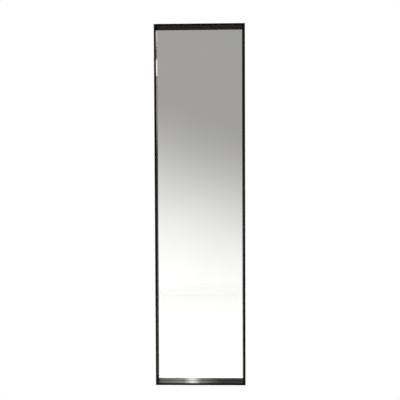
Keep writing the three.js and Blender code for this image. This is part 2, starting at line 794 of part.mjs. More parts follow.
// Carrier upright: a channel between the slides whose web runs on over both inner members
function carrierUpright() {
  const tabHalf = slideSpacing / 2 + uprightTabOverlap;
  const channelHalf = slideSpacing / 2 - slideHeight / 2 - uprightSlideClearance;
  const webY = uprightFrontY + uprightThickness / 2;
  const left = carrierTrailX + uprightThickness / 2;
  const right = carrierLeadX - uprightThickness / 2;
  const section = [
    [left, webY + uprightFlange],
    [left, webY],
    [right, webY],
    [right, webY + uprightFlange],
  ];
  const outline = sheetOutline(softened(section, uprightBend), uprightThickness);
  const channel = extruded(outline, 2 * channelHalf).translate(0, 0, -channelHalf);
  const web = towardsFront(extruded(
    roundedRectangle(uprightWidth - 2 * uprightBend, 2 * tabHalf, footCornerRadius), uprightThickness,
  )).translate(carrierMiddleX, slideFrontY, 0);
  const cutters = [];
  for (const side of [-1, 1]) {
    cutters.push(...carrierScrewHoles(slideFrontY, uprightThickness, side * slideSpacing / 2));
  }
  const holePitch = 2 * channelHalf / uprightHoleCount;
  for (let i = 0; i < uprightHoleCount; i += 1) {
    const hole = rodTowardsFront(uprightHoleDiameter / 2, uprightThickness + 2 * overrun, holeSides);
    cutters.push(hole.translate(carrierMiddleX, slideFrontY + overrun, holePitch * (i + 0.5) - channelHalf));
  }
  return cut(joined([channel, web]), cutters);
}

addPiece(part, 'carrier_upright', carrierUpright(), 'coated');

// Slides, brackets, pivots and catches, upper and lower
for (const [level, side] of [['upper', 1], ['lower', -1]]) {
  const group = new THREE.Group();
  group.position.z = side * slideSpacing / 2;
  part.add(group);

  const cabinet = addPiece(group, `${level}_cabinet_member`, cabinetMember(), 'zinc');
  cabinet.position.set(-slideLength / 2, slideBackY, 0);
  const middle = addPiece(group, `${level}_middle_member`, slideMember(middleSection, memberLength), 'zinc');
  middle.position.set(memberStart, slideBackY, 0);
  addPiece(group, `${level}_inner_member`, innerMember(), 'zinc');
  const outerCage = ballCage(outerCageDepth, outerBallHeight, outerBallRadius);
  const innerCage = ballCage(innerCageDepth, innerBallHeight, innerBallRadius);
  for (const [row, cage] of [['outer', outerCage], ['inner', innerCage]]) {
    addPiece(group, `${level}_${row}_ball_cage`, cage, 'springSteel').position.set(cageStart, slideBackY, 0);
  }
  const buffer = addPiece(group, `${level}_rear_buffer`, rearBuffer(), 'rubber');
  buffer.position.set(-slideLength / 2 + seatGap, slideBackY, 0);

  addPiece(group, `${level}_carrier_bracket`, carrierBracket(), 'coated');
  carrierScrewXs.forEach((x, i) => {
    const shank = carrierSheet + uprightThickness + slideSteel + carrierScrewTip;
    const name = `${level}_carrier_screw_${i + 1}`;
    addPiece(group, name, panScrew(shank), 'darkScrew').position.set(x, carrierFrontY - seatGap, 0);
  });

  addPiece(group, `${level}_pivot_bolt`, pivotBolt(), 'darkScrew').position.set(pivotX, pivotY, 0);
  addPiece(group, `${level}_pivot_bush`, pivotBush(), 'nylon').position.set(pivotX, pivotY, 0);
  addPiece(group, `${level}_mirror_bracket`, mirrorBracket(), 'coated');
  const strip = addPiece(group, `${level}_nut_strip`, nutStrip(), 'zinc');
  strip.position.set(
    stileSlotX,
    frameFrontY + channelFloor + seatGap + keyThickness,
    (bracketScrewZs[0] + bracketScrewZs[1]) / 2,
  );
  bracketScrewZs.forEach((z, i) => {
    const shank = mirrorSheet + frameDepth - channelFloor;
    const screw = addPiece(group, `${level}_bracket_screw_${i + 1}`, panScrew(shank), 'darkScrew');
    screw.rotation.z = Math.PI;
    screw.position.set(stileSlotX, mirrorFootBackY + seatGap, z);
  });

  addPiece(group, `${level}_magnet_housing`, catchHousing(), 'blackPlastic');
  const magnet = block(magnetWidth, magnetLength, magnetHeight);
  const placed = addPiece(group, `${level}_catch_magnet`, magnet, 'magnet');
  placed.position.set(magnetX, magnetFaceY - magnetLength / 2, 0);
}

export default part;
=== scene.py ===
"""Looks of a pull out closet mirror on two ball-bearing slides with a vertical pivot.

Sizes held by the classes are millimetres; finished meshes, places and the camera are metres.
+Z is up, the glass faces -Y, the closet's side panel is the plane y = 0, and the mirror
pulls out along +X.
"""

import logging
import math
from dataclasses import dataclass
from enum import Enum
from typing import Mapping, Sequence

import bmesh
import bpy
from mathutils import Matrix, Vector
from mathutils.geometry import tessellate_polygon


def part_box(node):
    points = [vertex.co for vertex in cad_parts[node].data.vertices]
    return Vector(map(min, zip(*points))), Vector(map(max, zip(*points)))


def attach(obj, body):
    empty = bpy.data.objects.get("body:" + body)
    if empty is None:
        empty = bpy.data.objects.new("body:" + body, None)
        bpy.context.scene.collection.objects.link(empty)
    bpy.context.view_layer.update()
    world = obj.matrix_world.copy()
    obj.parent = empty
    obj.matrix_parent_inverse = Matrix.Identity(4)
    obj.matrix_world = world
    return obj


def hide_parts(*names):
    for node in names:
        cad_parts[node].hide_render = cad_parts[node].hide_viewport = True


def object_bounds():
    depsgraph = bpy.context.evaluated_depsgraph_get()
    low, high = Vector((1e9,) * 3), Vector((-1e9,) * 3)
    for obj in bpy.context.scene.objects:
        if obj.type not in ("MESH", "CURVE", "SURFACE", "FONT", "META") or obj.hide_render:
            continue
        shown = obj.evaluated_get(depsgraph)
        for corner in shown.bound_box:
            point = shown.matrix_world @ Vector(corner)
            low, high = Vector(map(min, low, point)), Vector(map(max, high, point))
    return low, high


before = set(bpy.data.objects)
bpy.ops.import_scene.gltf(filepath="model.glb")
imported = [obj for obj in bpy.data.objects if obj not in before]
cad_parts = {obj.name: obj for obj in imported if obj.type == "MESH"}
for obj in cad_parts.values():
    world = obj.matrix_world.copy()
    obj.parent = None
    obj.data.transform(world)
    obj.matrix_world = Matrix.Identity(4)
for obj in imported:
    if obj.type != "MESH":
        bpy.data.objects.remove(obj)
CAD_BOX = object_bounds()
MM = 0.001
LEVELS = ("upper", "lower")
SMOOTH_ANGLE = math.radians(38)  # Edges sharper than this stay sharp
FLAT_ANGLE = math.radians(0.6)  # Faces of a CAD node this near to one plane are one
SAME_PLACE = 0.002  # Points of a CAD node this near are one
SAME_POINT = 1e-5  # Points of an outline this near are one
SIDE_SHARE = 0.49  # Most of a side that one rounded corner takes
SHARP_SHARE = 0.3  # Keeps the offset of a very sharp corner short
END_GAP = 0.01  # Straight part left in each end of a slot
THREAD_SHARE = 0.55  # Depth of a thread over its pitch
THREAD_RINGS = 6  # Rings in one turn of a thread
KNURLS = 36
KNURL_DEPTH = 0.09
FLOAT = "NodeSocketFloat"
VECTOR = "NodeSocketVector"
GEOMETRY = "NodeSocketGeometry"
log = logging.getLogger("closet_mirror")

Colour = tuple[float, float, float]
Pair = tuple[float, float]
Outline = list[Vector]
Solid = bmesh.types.BMesh
Piece = bpy.types.Object
Material = bpy.types.Material
Socket = bpy.types.NodeSocket
Tree = bpy.types.NodeTree
Node = bpy.types.Node

X_AXIS = Vector((1, 0, 0))
Y_AXIS = Vector((0, 1, 0))
Z_AXIS = Vector((0, 0, 1))
ORIGIN = Vector((0, 0, 0))
UNTURNED = Vector((0, 0, 0))


@dataclass(frozen=True)
class Box:
    """Box of a CAD node, in millimetres."""

    low: Vector
    high: Vector

    @property
    def width(self) -> float:
        """Size along X."""
        return self.high.x - self.low.x

    @property
    def depth(self) -> float:
        """Size along Y."""
        return self.high.y - self.low.y

    @property
    def height(self) -> float:
        """Size along Z."""
        return self.high.z - self.low.z

    @property
    def middle(self) -> Vector:
        """Its centre."""
        return (self.low + self.high) / 2

    @property
    def foot(self) -> Vector:
        """Centre of its lower face."""
        return Vector((*self.middle.xy, self.low.z))


def box_of(node: str) -> Box:
    """Box of a CAD node at rest."""
    low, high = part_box(node)
    return Box(low / MM, high / MM)


# Outlines


def rounded(points: Sequence[Sequence[float]], radii: float | Sequence[float], closed: bool = True,
            steps: int = 5) -> Outline:
    """Rounds the corners of a line of points with arcs.

    Args:
        points: Corners of the line, two numbers each.
        radii: One radius for all corners, or one for each.
        closed: Whether the last point joins the first.
        steps: Straight steps in each arc.

    Returns:
        The rounded line.
    """
    corners = [Vector(point) for point in points]
    count = len(corners)
    reach = [radii] * count if isinstance(radii, (int, float)) else list(radii)
    line: Outline = []
    for i, corner in enumerate(corners):
        if reach[i] <= 0 or (not closed and i in (0, count - 1)):
            line.append(corner)
            continue
        behind = corners[i - 1] - corner
        ahead = corners[(i + 1) % count] - corner
        half = behind.angle(ahead) / 2
        run = min(reach[i] / math.tan(half), SIDE_SHARE * min(behind.length, ahead.length))
        radius = run * math.tan(half)
        bisector = (behind.normalized() + ahead.normalized()).normalized()
        centre = corner + bisector * (radius / math.sin(half))
        start = corner + behind.normalized() * run - centre
        end = corner + ahead.normalized() * run - centre
        first = math.atan2(start.y, start.x)
        sweep = (math.atan2(end.y, end.x) - first + math.pi) % math.tau - math.pi
        for k in range(steps + 1):
            turn = first + sweep * k / steps
            line.append(centre + radius * Vector((math.cos(turn), math.sin(turn))))
    return line


def rectangle(width: float, height: float, radius: float, centre: Sequence[float] = (0, 0),
              steps: int = 8) -> Outline:
    """Rounded rectangle about a centre.

    Args:
        width: Full width.
        height: Full height.
        radius: Radius of the corners.
        centre: Its middle.
        steps: Straight steps in each corner.

    Returns:
        The outline.
    """
    x, y = width / 2, height / 2
    corners = [(centre[0] + a * x, centre[1] + b * y) for a, b in ((-1, -1), (1, -1), (1, 1), (-1, 1))]
    return rounded(corners, radius, steps=steps)


def slotted(length: float, width: float, centre: Sequence[float], steps: int = 8) -> Outline:
    """Slot with round ends along X about a centre."""
    return rectangle(length, width, width / 2 - END_GAP, centre, steps)


def circle(radius: float, centre: Sequence[float] = (0, 0), sides: int = 40) -> Outline:
    """Circle about a centre, as an outline of equal sides."""
    turns = [math.tau * k / sides for k in range(sides)]
    return [Vector((centre[0] + radius * math.cos(t), centre[1] + radius * math.sin(t))) for t in turns]


def normals_of(line: Outline, closed: bool) -> Outline:
    """Offset at each point that keeps both neighbouring sides one unit away, to their left.

    Args:
        line: Points of the line.
        closed: Whether the last point joins the first.

    Returns:
        One offset for each point.
    """
    last = len(line) - 1
    offsets: Outline = []
    for i, point in enumerate(line):
        into = point - line[i - 1] if closed or i else line[1] - line[0]
        out = line[(i + 1) % len(line)] - point if closed or i < last else into
        into, out = into.normalized(), out.normalized()
        side = Vector((-into.y - out.y, into.x + out.x)).normalized()
        offsets.append(side / max(side.dot(Vector((-into.y, into.x))), SHARP_SHARE))
    return offsets


def strip(line: Outline, thickness: float) -> Outline:
    """Outline of a bent strip of sheet about its centre line.

    Args:
        line: Centre line of the sheet.
        thickness: Thickness of the sheet.

    Returns:
        The outline.
    """
    offsets = normals_of(line, False)
    near = [p - n * thickness / 2 for p, n in zip(line, offsets)]
    far = [p + n * thickness / 2 for p, n in zip(line, offsets)]
    return near + far[::-1]


def channel(web: float, front: float, rise: float, bend: float) -> Outline:
    """Centre line of a U-shaped section, in depth and in height.

    Args:
        web: Depth of the web's middle.
        front: Depth where the flanges end.
        rise: Height of a flange's middle.
        bend: Radius of the bends.

    Returns:
        The line.
    """
    return rounded([(front, -rise), (web, -rise), (web, rise), (front, rise)], bend, closed=False)


def wound(line: Outline, leftward: bool) -> Outline:
    """The same outline, wound so that its area is positive or negative.

    Args:
        line: A closed outline.
        leftward: True to wind it anticlockwise.

    Returns:
        The outline, reversed where needed.
    """
    clean = [p for i, p in enumerate(line) if (p - line[i - 1]).length > SAME_POINT]
    area = sum(clean[i - 1].cross(p) for i, p in enumerate(clean))
    return clean if (area > 0) == leftward else clean[::-1]


# Solids in mesh code


def prism(outline: Outline, depth: float, holes: Sequence[Outline] = (), edge: float = 0.15,
          steps: int = 2) -> Solid:
    """Extrudes an outline with holes along +Z, with rounded rims.

    Args:
        outline: Outer outline.
        depth: Length of the extrusion.
        holes: Outlines that go right through.
        edge: Radius of the rims.
        steps: Steps across a rounded rim.

    Returns:
        The closed solid.
    """
    loops = [wound(outline, True)] + [wound(hole, False) for hole in holes]
    turns = [math.pi / 2 * k / steps for k in range(steps + 1)]
    near = [(edge * (1 - math.sin(t)), edge * (1 - math.cos(t))) for t in turns]
    levels = near + [(inward, depth - height) for inward, height in near[::-1]]
    solid = bmesh.new()
    offsets = [normals_of(loop, True) for loop in loops]
    rings = [
        [[solid.verts.new((*(p + n * inward), height)) for p, n in zip(loop, offset)]
         for loop, offset in zip(loops, offsets)]
        for inward, height in levels
    ]
    for lower, upper in zip(rings, rings[1:]):
        for below, above in zip(lower, upper):
            for i in range(len(below)):
                solid.faces.new((below[i - 1], below[i], above[i], above[i - 1]))
    for level in (rings[0], rings[-1]):
        corners = [vert for loop in level for vert in loop]
        for a, b, c in tessellate_polygon([[vert.co for vert in loop] for loop in level]):
            if len({a, b, c}) == 3:
                solid.faces.new((corners[a], corners[b], corners[c]))
    return solid


class Round(Enum):
    """How a turned ring departs from a circle."""

    CIRCLE = "circle"
    HEXAGON = "hexagon"
    THREAD = "thread"
    KNURL = "knurl"


@dataclass(frozen=True)
class Ring:
    """One ring of a turned solid: its radius, its height and its form."""

    radius: float
    height: float
    form: Round = Round.CIRCLE
    pitch: float = 0.7

    def reach(self, turn: float) -> float:
        """Radius at an angle round the axis.

        Args:
            turn: The angle in radians.

        Returns:
            The radius there.
        """
        if self.form is Round.HEXAGON:
            return self.radius / math.cos((turn + math.pi / 6) % (math.pi / 3) - math.pi / 6)
        if self.form is Round.THREAD:
            phase = (self.height / self.pitch - turn / math.tau) % 1
            return self.radius - THREAD_SHARE * self.pitch * (1 - abs(2 * phase - 1))
        if self.form is Round.KNURL:
            return self.radius - KNURL_DEPTH * (0.5 + 0.5 * math.cos(KNURLS * turn))
        return self.radius


def threaded(radius: float, low: float, high: float, pitch: float) -> list[Ring]:
    """Rings of a thread between two heights, from the lower one up.

    Args:
        radius: Crest radius.
        low: Height where it starts.
        high: Height where it ends.
        pitch: Rise in a turn.

    Returns:
        The rings.
    """
    count = max(2, round((high - low) / pitch * THREAD_RINGS))
    return [Ring(radius, low + (high - low) * k / count, Round.THREAD, pitch) for k in range(count + 1)]


def turned(rings: Sequence[Ring], sides: int = 36, hollow: bool = False) -> Solid:
    """Solid of rings round the Z axis.

    Args:
        rings: Rings in order along the section.
        sides: Sides of each ring.
        hollow: True where the last ring joins the first, as on a bush.

    Returns:
        The closed solid.
    """
    turns = [math.tau * k / sides for k in range(sides)]
    solid = bmesh.new()
    made = []
    for ring in rings:
        reaches = [(ring.reach(t), t) for t in turns]
        made.append([solid.verts.new((r * math.cos(t), r * math.sin(t), ring.height)) for r, t in reaches])
    pairs = list(zip(made, made[1:])) + ([(made[-1], made[0])] if hollow else [])
    for lower, upper in pairs:
        for i in range(sides):
            solid.faces.new((lower[i - 1], lower[i], upper[i], upper[i - 1]))
    if not hollow:
        solid.faces.new(made[0])
        solid.faces.new(made[-1])
    return solid


def basis(x: Vector, y: Vector, z: Vector, origin: Sequence[float]) -> Matrix:
    """Matrix that takes drawn x, y and z to three directions, and zero to an origin."""
    turn = Matrix((x, y, z)).transposed().to_4x4()
    return Matrix.Translation(Vector(origin)) @ turn


def along_x(origin: Sequence[float]) -> Matrix:
    """Place for a section drawn in depth and height and extruded along +X."""
    return basis(-Y_AXIS, Z_AXIS, X_AXIS, origin)


def towards_front(origin: Sequence[float]) -> Matrix:
    """Place for an outline drawn in x and z and extruded towards -Y."""
    return basis(X_AXIS, Z_AXIS, -Y_AXIS, origin)


def solid_object(name: str, solids: Sequence[tuple[Solid, Matrix]]) -> Piece:
    """Object of one or more solids, its place held in its mesh, in metres.

    Args:
        name: The object's name.
        solids: Solids in millimetres with their places, which are used up.

    Returns:
        The object.
    """
    whole = bmesh.new()
    for solid, place in solids:
        solid.transform(place)
        part = bpy.data.meshes.new("part")
        solid.to_mesh(part)
        solid.free()
        whole.from_mesh(part)
        bpy.data.meshes.remove(part)
    bmesh.ops.scale(whole, vec=(MM, MM, MM), verts=whole.verts)
    bmesh.ops.recalc_face_normals(whole, faces=whole.faces)
    mesh = bpy.data.meshes.new(name)
    whole.to_mesh(mesh)
    whole.free()
    made = bpy.data.objects.new(name, mesh)
    bpy.context.scene.collection.objects.link(made)
    return shaded(made)


def fine_copy(node: str, name: str, edge: float = 0.25, steps: int = 2) -> Piece:
    """Copy of a CAD node with its corners rounded over.

    Args:
        node: The CAD node.
        name: The new object's name.
        edge: Radius of the rounded corners, in millimetres.
        steps: Steps across a rounded corner.

    Returns:
        The object.
    """
    solid = bmesh.new()
    solid.from_mesh(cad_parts[node].data)
    bmesh.ops.scale(solid, vec=(1 / MM,) * 3, verts=solid.verts)
    bmesh.ops.remove_doubles(solid, verts=solid.verts, dist=SAME_PLACE)
    bmesh.ops.dissolve_limit(solid, angle_limit=FLAT_ANGLE, verts=solid.verts, edges=solid.edges)
    corners = [e for e in solid.edges if len(e.link_faces) == 2 and e.calc_face_angle() > SMOOTH_ANGLE]
    bmesh.ops.bevel(solid, geom=corners, offset=edge, offset_type="OFFSET", segments=steps, profile=0.5,
                    affect="EDGES", clamp_overlap=True)
    return solid_object(name, [(solid, Matrix.Identity(4))])


def shaded(made: Piece) -> Piece:
    """Shades an object smooth, with its large faces flat and its sharp edges kept.

    Args:
        made: The object.

    Returns:
        The same object.
    """
    made.data.shade_smooth()
    made.data.set_sharp_from_angle(angle=SMOOTH_ANGLE)
    evened = made.modifiers.new("even", "WEIGHTED_NORMAL")
    evened.keep_sharp = True
    return plain_mesh(made)


def plain_mesh(made: Piece) -> Piece:
    """Turns what an object's modifiers make into its own plain mesh, and removes them.

    Args:
        made: The object, with live modifiers.

    Returns:
        The same object.
    """
    graph = bpy.context.evaluated_depsgraph_get()
    mesh = bpy.data.meshes.new_from_object(made.evaluated_get(graph), depsgraph=graph)
    made.modifiers.clear()
    made.data = mesh
    return made


def cutter(name: str, shapes: Sequence[Outline], start: float, depth: float) -> Piece:
    """Outlines in x and z extruded towards -Y, as one object to cut with.

    Args:
        name: The object's name.
        shapes: The outlines.
        start: Y where they start.
        depth: Length of the extrusion.

    Returns:
        The cutter.
    """
    place = towards_front((0, start, 0))
    return solid_object(name, [(prism(shape, depth, edge=0), place) for shape in shapes])


def pierced(made: Piece, taken: Piece) -> Piece:
    """Cuts an object by another one, which is used up.

    Args:
        made: The object to cut.
        taken: The shape that is taken away.

    Returns:
        The object with its holes.
    """
    cut = made.modifiers.new("holes", "BOOLEAN")
    cut.operation = "DIFFERENCE"
    cut.solver = "EXACT"
    cut.object = taken
    plain_mesh(made)
    bpy.data.objects.remove(taken)
    return shaded(made)


# Node trees


class Graph:
    """Adds nodes to a tree and joins their sockets."""

    def __init__(self, tree: Tree) -> None:
        """Holds the tree that is built."""
        self.tree = tree

    def node(self, kind: str, inputs: Mapping[int | str, object] | None = None, **settings: object) -> Node:
        """Adds a node.

        Args:
            kind: Blender's type name of the node.
            inputs: Values or output sockets for its inputs.
            **settings: Properties of the node.

        Returns:
            The node.
        """
        made = self.tree.nodes.new(kind)
        for key, value in settings.items():
            setattr(made, key, value)
        for key, value in (inputs or {}).items():
            self.feed(made.inputs[key], value)
        return made

    def feed(self, socket: Socket, value: object) -> None:
        """Links an output to a socket, or sets the socket's own value.

        Args:
            socket: The input socket.
            value: An output socket or a value.
        """
        if isinstance(value, Socket):
            self.tree.links.new(value, socket)
        else:
            socket.default_value = value

    def closed(self, result: Socket) -> Tree:
        """Feeds the result to the tree's output and hands over the tree."""
        self.feed(self.node("NodeGroupOutput").inputs[0], result)
        return self.tree

    def group(self, tree: Tree, **values: object) -> Socket:
        """First output of a shared group, with values for its named inputs."""
        return self.node("ShaderNodeGroup", values, node_tree=tree).outputs[0]

    def place(self) -> Socket:
        """The shaded point in the piece's own coordinates."""
        return self.node("ShaderNodeTexCoord").outputs["Object"]

    def maths(self, operation: str, *values: object) -> Socket:
        """Result of a Math node on one to three values or outputs."""
        return self.node("ShaderNodeMath", dict(enumerate(values)), operation=operation).outputs[0]

    def product(self, first: object, *others: object) -> Socket:
        """Product of two or more values or outputs.

        Args:
            first: The first value or output.
            *others: The others.

        Returns:
            The product.
        """
        for other in others:
            first = self.maths("MULTIPLY", first, other)
        return first

    def vector(self, operation: str, *values: object, output: int | str = 0) -> Socket:
        """Vector result of a Vector Math node, or its output of another name."""
        return self.node("ShaderNodeVectorMath", dict(enumerate(values)), operation=operation).outputs[output]

    def noise(self, place: object, scale: object, detail: float, rough: float = 0.5) -> Socket:
        """Value of a Noise Texture at a place."""
        inputs = {"Vector": place, "Scale": scale, "Detail": detail, "Roughness": rough}
        return self.node("ShaderNodeTexNoise", inputs).outputs["Fac"]

    def spread(self, value: object, low: float, high: float, to_low: float = 0.0,
               to_high: float = 1.0) -> Socket:
        """Maps a range smoothly to another one, and holds it there.

        Args:
            value: The output that is mapped.
            low: Start of the range.
            high: End of the range.
            to_low: What the start becomes.
            to_high: What the end becomes.

        Returns:
            The mapped value.
        """
        inputs = {0: value, 1: low, 2: high, 3: to_low, 4: to_high}
        return self.node("ShaderNodeMapRange", inputs, interpolation_type="SMOOTHSTEP").outputs[0]

    def blend_value(self, share: object, first: object, second: object) -> Socket:
        """Value between two values, by a share."""
        return self.node("ShaderNodeMix", {0: share, 2: first, 3: second}, data_type="FLOAT").outputs[0]

    def blend(self, share: object, first: object, second: object) -> Socket:
        """Colour between two colours, by a share."""
        return self.node("ShaderNodeMix", {0: share, 6: first, 7: second}, data_type="RGBA").outputs[2]


def empty_tree(name: str, kind: str, inputs: Mapping[str, str],
               output: tuple[str, str]) -> tuple[Graph, bpy.types.NodeOutputs]:
    """Empty node tree with named inputs and one output.

    Args:
        name: The tree's name.
        kind: Blender's type name of the tree.
        inputs: Socket kind of each input.
        output: Name and socket kind of the output.

    Returns:
        Its graph, and what comes in by the inputs' names.
    """
    tree = bpy.data.node_groups.new(name, kind)
    for title, socket in inputs.items():
        tree.interface.new_socket(name=title, in_out="INPUT", socket_type=socket)
    tree.interface.new_socket(name=output[0], in_out="OUTPUT", socket_type=output[1])
    graph = Graph(tree)
    return graph, graph.node("NodeGroupInput").outputs


def shader_group(name: str, inputs: Mapping[str, str], output: str) -> tuple[Graph, bpy.types.NodeOutputs]:
    """Empty shader group that puts out one value, and what comes in by name."""
    return empty_tree(name, "ShaderNodeTree", inputs, (output, FLOAT))


def geometry_tree(name: str, inputs: Mapping[str, str]) -> tuple[Graph, bpy.types.NodeOutputs]:
    """Empty geometry tree with named inputs beside its geometry, and what comes in by name."""
    return empty_tree(name, "GeometryNodeTree", {"Geometry": GEOMETRY, **inputs}, ("Geometry", GEOMETRY))


class Effects:
    """Shader groups that several finishes share."""

    def __init__(self) -> None:
        """Builds every group once."""
        self.mottle = self._mottle()
        self.grain = self._grain()
        self.wear = self._wear()
        self.dust = self._dust()
        self.peel = self._peel()

    @staticmethod
    def _mottle() -> Tree:
        """Cloudy variation of a coating, in features of the given size.

        Returns:
            The group.
        """
        graph, given = shader_group("coating_mottle", {"Size": FLOAT}, "Value")
        scale = graph.maths("DIVIDE", 1.0, given["Size"])
        broad = graph.noise(graph.place(), scale, detail=5)
        return graph.closed(graph.spread(broad, low=0.3, high=0.7))

    @staticmethod
    def _grain() -> Tree:
        """Fine lines left by rolling, brushing or grinding; the stretch gives lines per metre.

        Returns:
            The group.
        """
        graph, given = shader_group("metal_grain", {"Stretch": VECTOR}, "Value")
        drawn = graph.vector("MULTIPLY", graph.place(), given["Stretch"])
        fine = graph.noise(drawn, scale=1.0, detail=3, rough=0.6)
        wider = graph.vector("MULTIPLY", drawn, (0.6, 0.23, 0.23))
        coarse = graph.noise(wider, scale=1.0, detail=2)
        both = graph.maths("MULTIPLY_ADD", coarse, 0.5, graph.product(fine, 0.5))
        return graph.closed(graph.spread(both, low=0.32, high=0.68))

    @staticmethod
    def _wear() -> Tree:
        """Mask of rubbed corners, broken up by noise.

        Returns:
            The group.
        """
        graph, given = shader_group("edge_wear", {"Radius": FLOAT, "Amount": FLOAT}, "Mask")
        bevelled = graph.node("ShaderNodeBevel", {"Radius": given["Radius"]}, samples=4).outputs[0]
        true = graph.node("ShaderNodeNewGeometry").outputs["Normal"]
        facing = graph.vector("DOT_PRODUCT", bevelled, true, output="Value")
        corner = graph.spread(facing, low=0.995, high=0.86)
        patches = graph.noise(graph.place(), scale=130.0, detail=5, rough=0.7)
        broken = graph.spread(patches, low=0.42, high=0.68)
        return graph.closed(graph.product(corner, broken, given["Amount"]))

    @staticmethod
    def _dust() -> Tree:
        """Mask of fine dust that has settled on upward faces.

        Returns:
            The group.
        """
        graph, given = shader_group("settled_dust", {"Amount": FLOAT}, "Mask")
        normal = graph.node("ShaderNodeNewGeometry").outputs["Normal"]
        upward = graph.node("ShaderNodeSeparateXYZ", {0: normal}).outputs["Z"]
        lying = graph.spread(upward, low=0.35, high=0.95)
        fine = graph.noise(graph.place(), scale=420.0, detail=6, rough=0.75)
        specks = graph.spread(fine, low=0.4, high=0.75)
        return graph.closed(graph.product(lying, specks, given["Amount"]))

    @staticmethod
    def _peel() -> Tree:
        """Height of an orange-peel or moulded texture, in features of the given size.

        Returns:
            The group.
        """
        graph, given = shader_group("orange_peel", {"Size": FLOAT}, "Height")
        place = graph.place()
        scale = graph.maths("DIVIDE", 1.0, given["Size"])
        cells = graph.node("ShaderNodeTexVoronoi", {"Vector": place, "Scale": scale}, feature="SMOOTH_F1")
        fine = graph.noise(place, scale, detail=3)
        return graph.closed(graph.maths("MULTIPLY_ADD", fine, 0.6, cells.outputs["Distance"]))


# Finishes


@dataclass(frozen=True)
class Finish:
    """A metal, coating or moulding: its colours, gloss, texture and wear."""

    slot: str
    colour: Colour
    tone: Colour
    gloss: Pair
    metallic: float = 0.0
    mottle_size: float = 0.02
    stretch: tuple[float, float, float] = (400.0, 400.0, 400.0)
    grain_share: float = 0.3
    grain_depth: float = 0.0
    peel_size: float = 0.001
    peel_depth: float = 0.0
    relief: float = 0.6
    worn: Colour = (0.3, 0.3, 0.3)
    wear: float = 0.0
    wear_radius: float = 0.0005
    dust: float = 0.15
    dust_colour: Colour = (0.42, 0.40, 0.37)
    dust_roughness: float = 0.5
    coat: float = 0.0
    coat_roughness: float = 0.05
    soft: float = 0.0
    soft_depth: float = 0.002
    specular: float = 0.5
    edge_tint: Colour = (1.0, 1.0, 1.0)

    def pattern(self, graph: Graph, effects: Effects) -> tuple[Socket, Socket]:
        """Where the colour moves to its tone, and the height of its surface.

        Args:
            graph: The material's graph.
            effects: The shared groups.

        Returns:
            The share of the tone, and a height in metres.
        """
        cloud = graph.group(effects.mottle, Size=self.mottle_size)
        lines = graph.group(effects.grain, Stretch=self.stretch)
        peel = graph.group(effects.peel, Size=self.peel_size)
        clouded = graph.product(cloud, 1 - self.grain_share)
        share = graph.maths("MULTIPLY_ADD", lines, self.grain_share, clouded)
        height = graph.maths("MULTIPLY_ADD", lines, self.grain_depth, graph.product(peel, self.peel_depth))
        return share, height

    def build(self, effects: Effects) -> Material:
        """Makes the material.

        Args:
            effects: The shared groups.

        Returns:
            The material.
        """
        material = bpy.data.materials.new(self.slot)
        material.use_nodes = True
        graph = Graph(material.node_tree)
        shader = material.node_tree.nodes["Principled BSDF"]
        share, height = self.pattern(graph, effects)
        colour = graph.blend(share, (*self.colour, 1), (*self.tone, 1))
        roughness = graph.maths("MULTIPLY_ADD", share, self.gloss[1] - self.gloss[0], self.gloss[0])
        if self.wear:
            rubbed = graph.group(effects.wear, Radius=self.wear_radius, Amount=self.wear)
            colour = graph.blend(rubbed, colour, (*self.worn, 1))
        if self.dust:
            lying = graph.group(effects.dust, Amount=self.dust)
            colour = graph.blend(lying, colour, (*self.dust_colour, 1))
            roughness = graph.maths("MULTIPLY_ADD", lying, self.dust_roughness, roughness)
        graph.feed(shader.inputs["Base Color"], colour)
        graph.feed(shader.inputs["Roughness"], roughness)
        if self.grain_depth or self.peel_depth:
            bump = graph.node("ShaderNodeBump", {"Height": height, "Strength": self.relief, "Distance": 1.0})
            graph.feed(shader.inputs["Normal"], bump.outputs["Normal"])
        self.settle(shader)
        return material

    def settle(self, shader: Node) -> None:
        """Sets what is the same all over the surface on the shader's own sockets.

        Args:
            shader: The material's Principled BSDF.
        """
        shader.inputs["Metallic"].default_value = self.metallic
        shader.inputs["Coat Weight"].default_value = self.coat
        shader.inputs["Coat Roughness"].default_value = self.coat_roughness
        shader.inputs["Specular IOR Level"].default_value = self.specular
        shader.inputs["Specular Tint"].default_value = (*self.edge_tint, 1)
        shader.inputs["Subsurface Weight"].default_value = self.soft
        shader.inputs["Subsurface Scale"].default_value = self.soft_depth


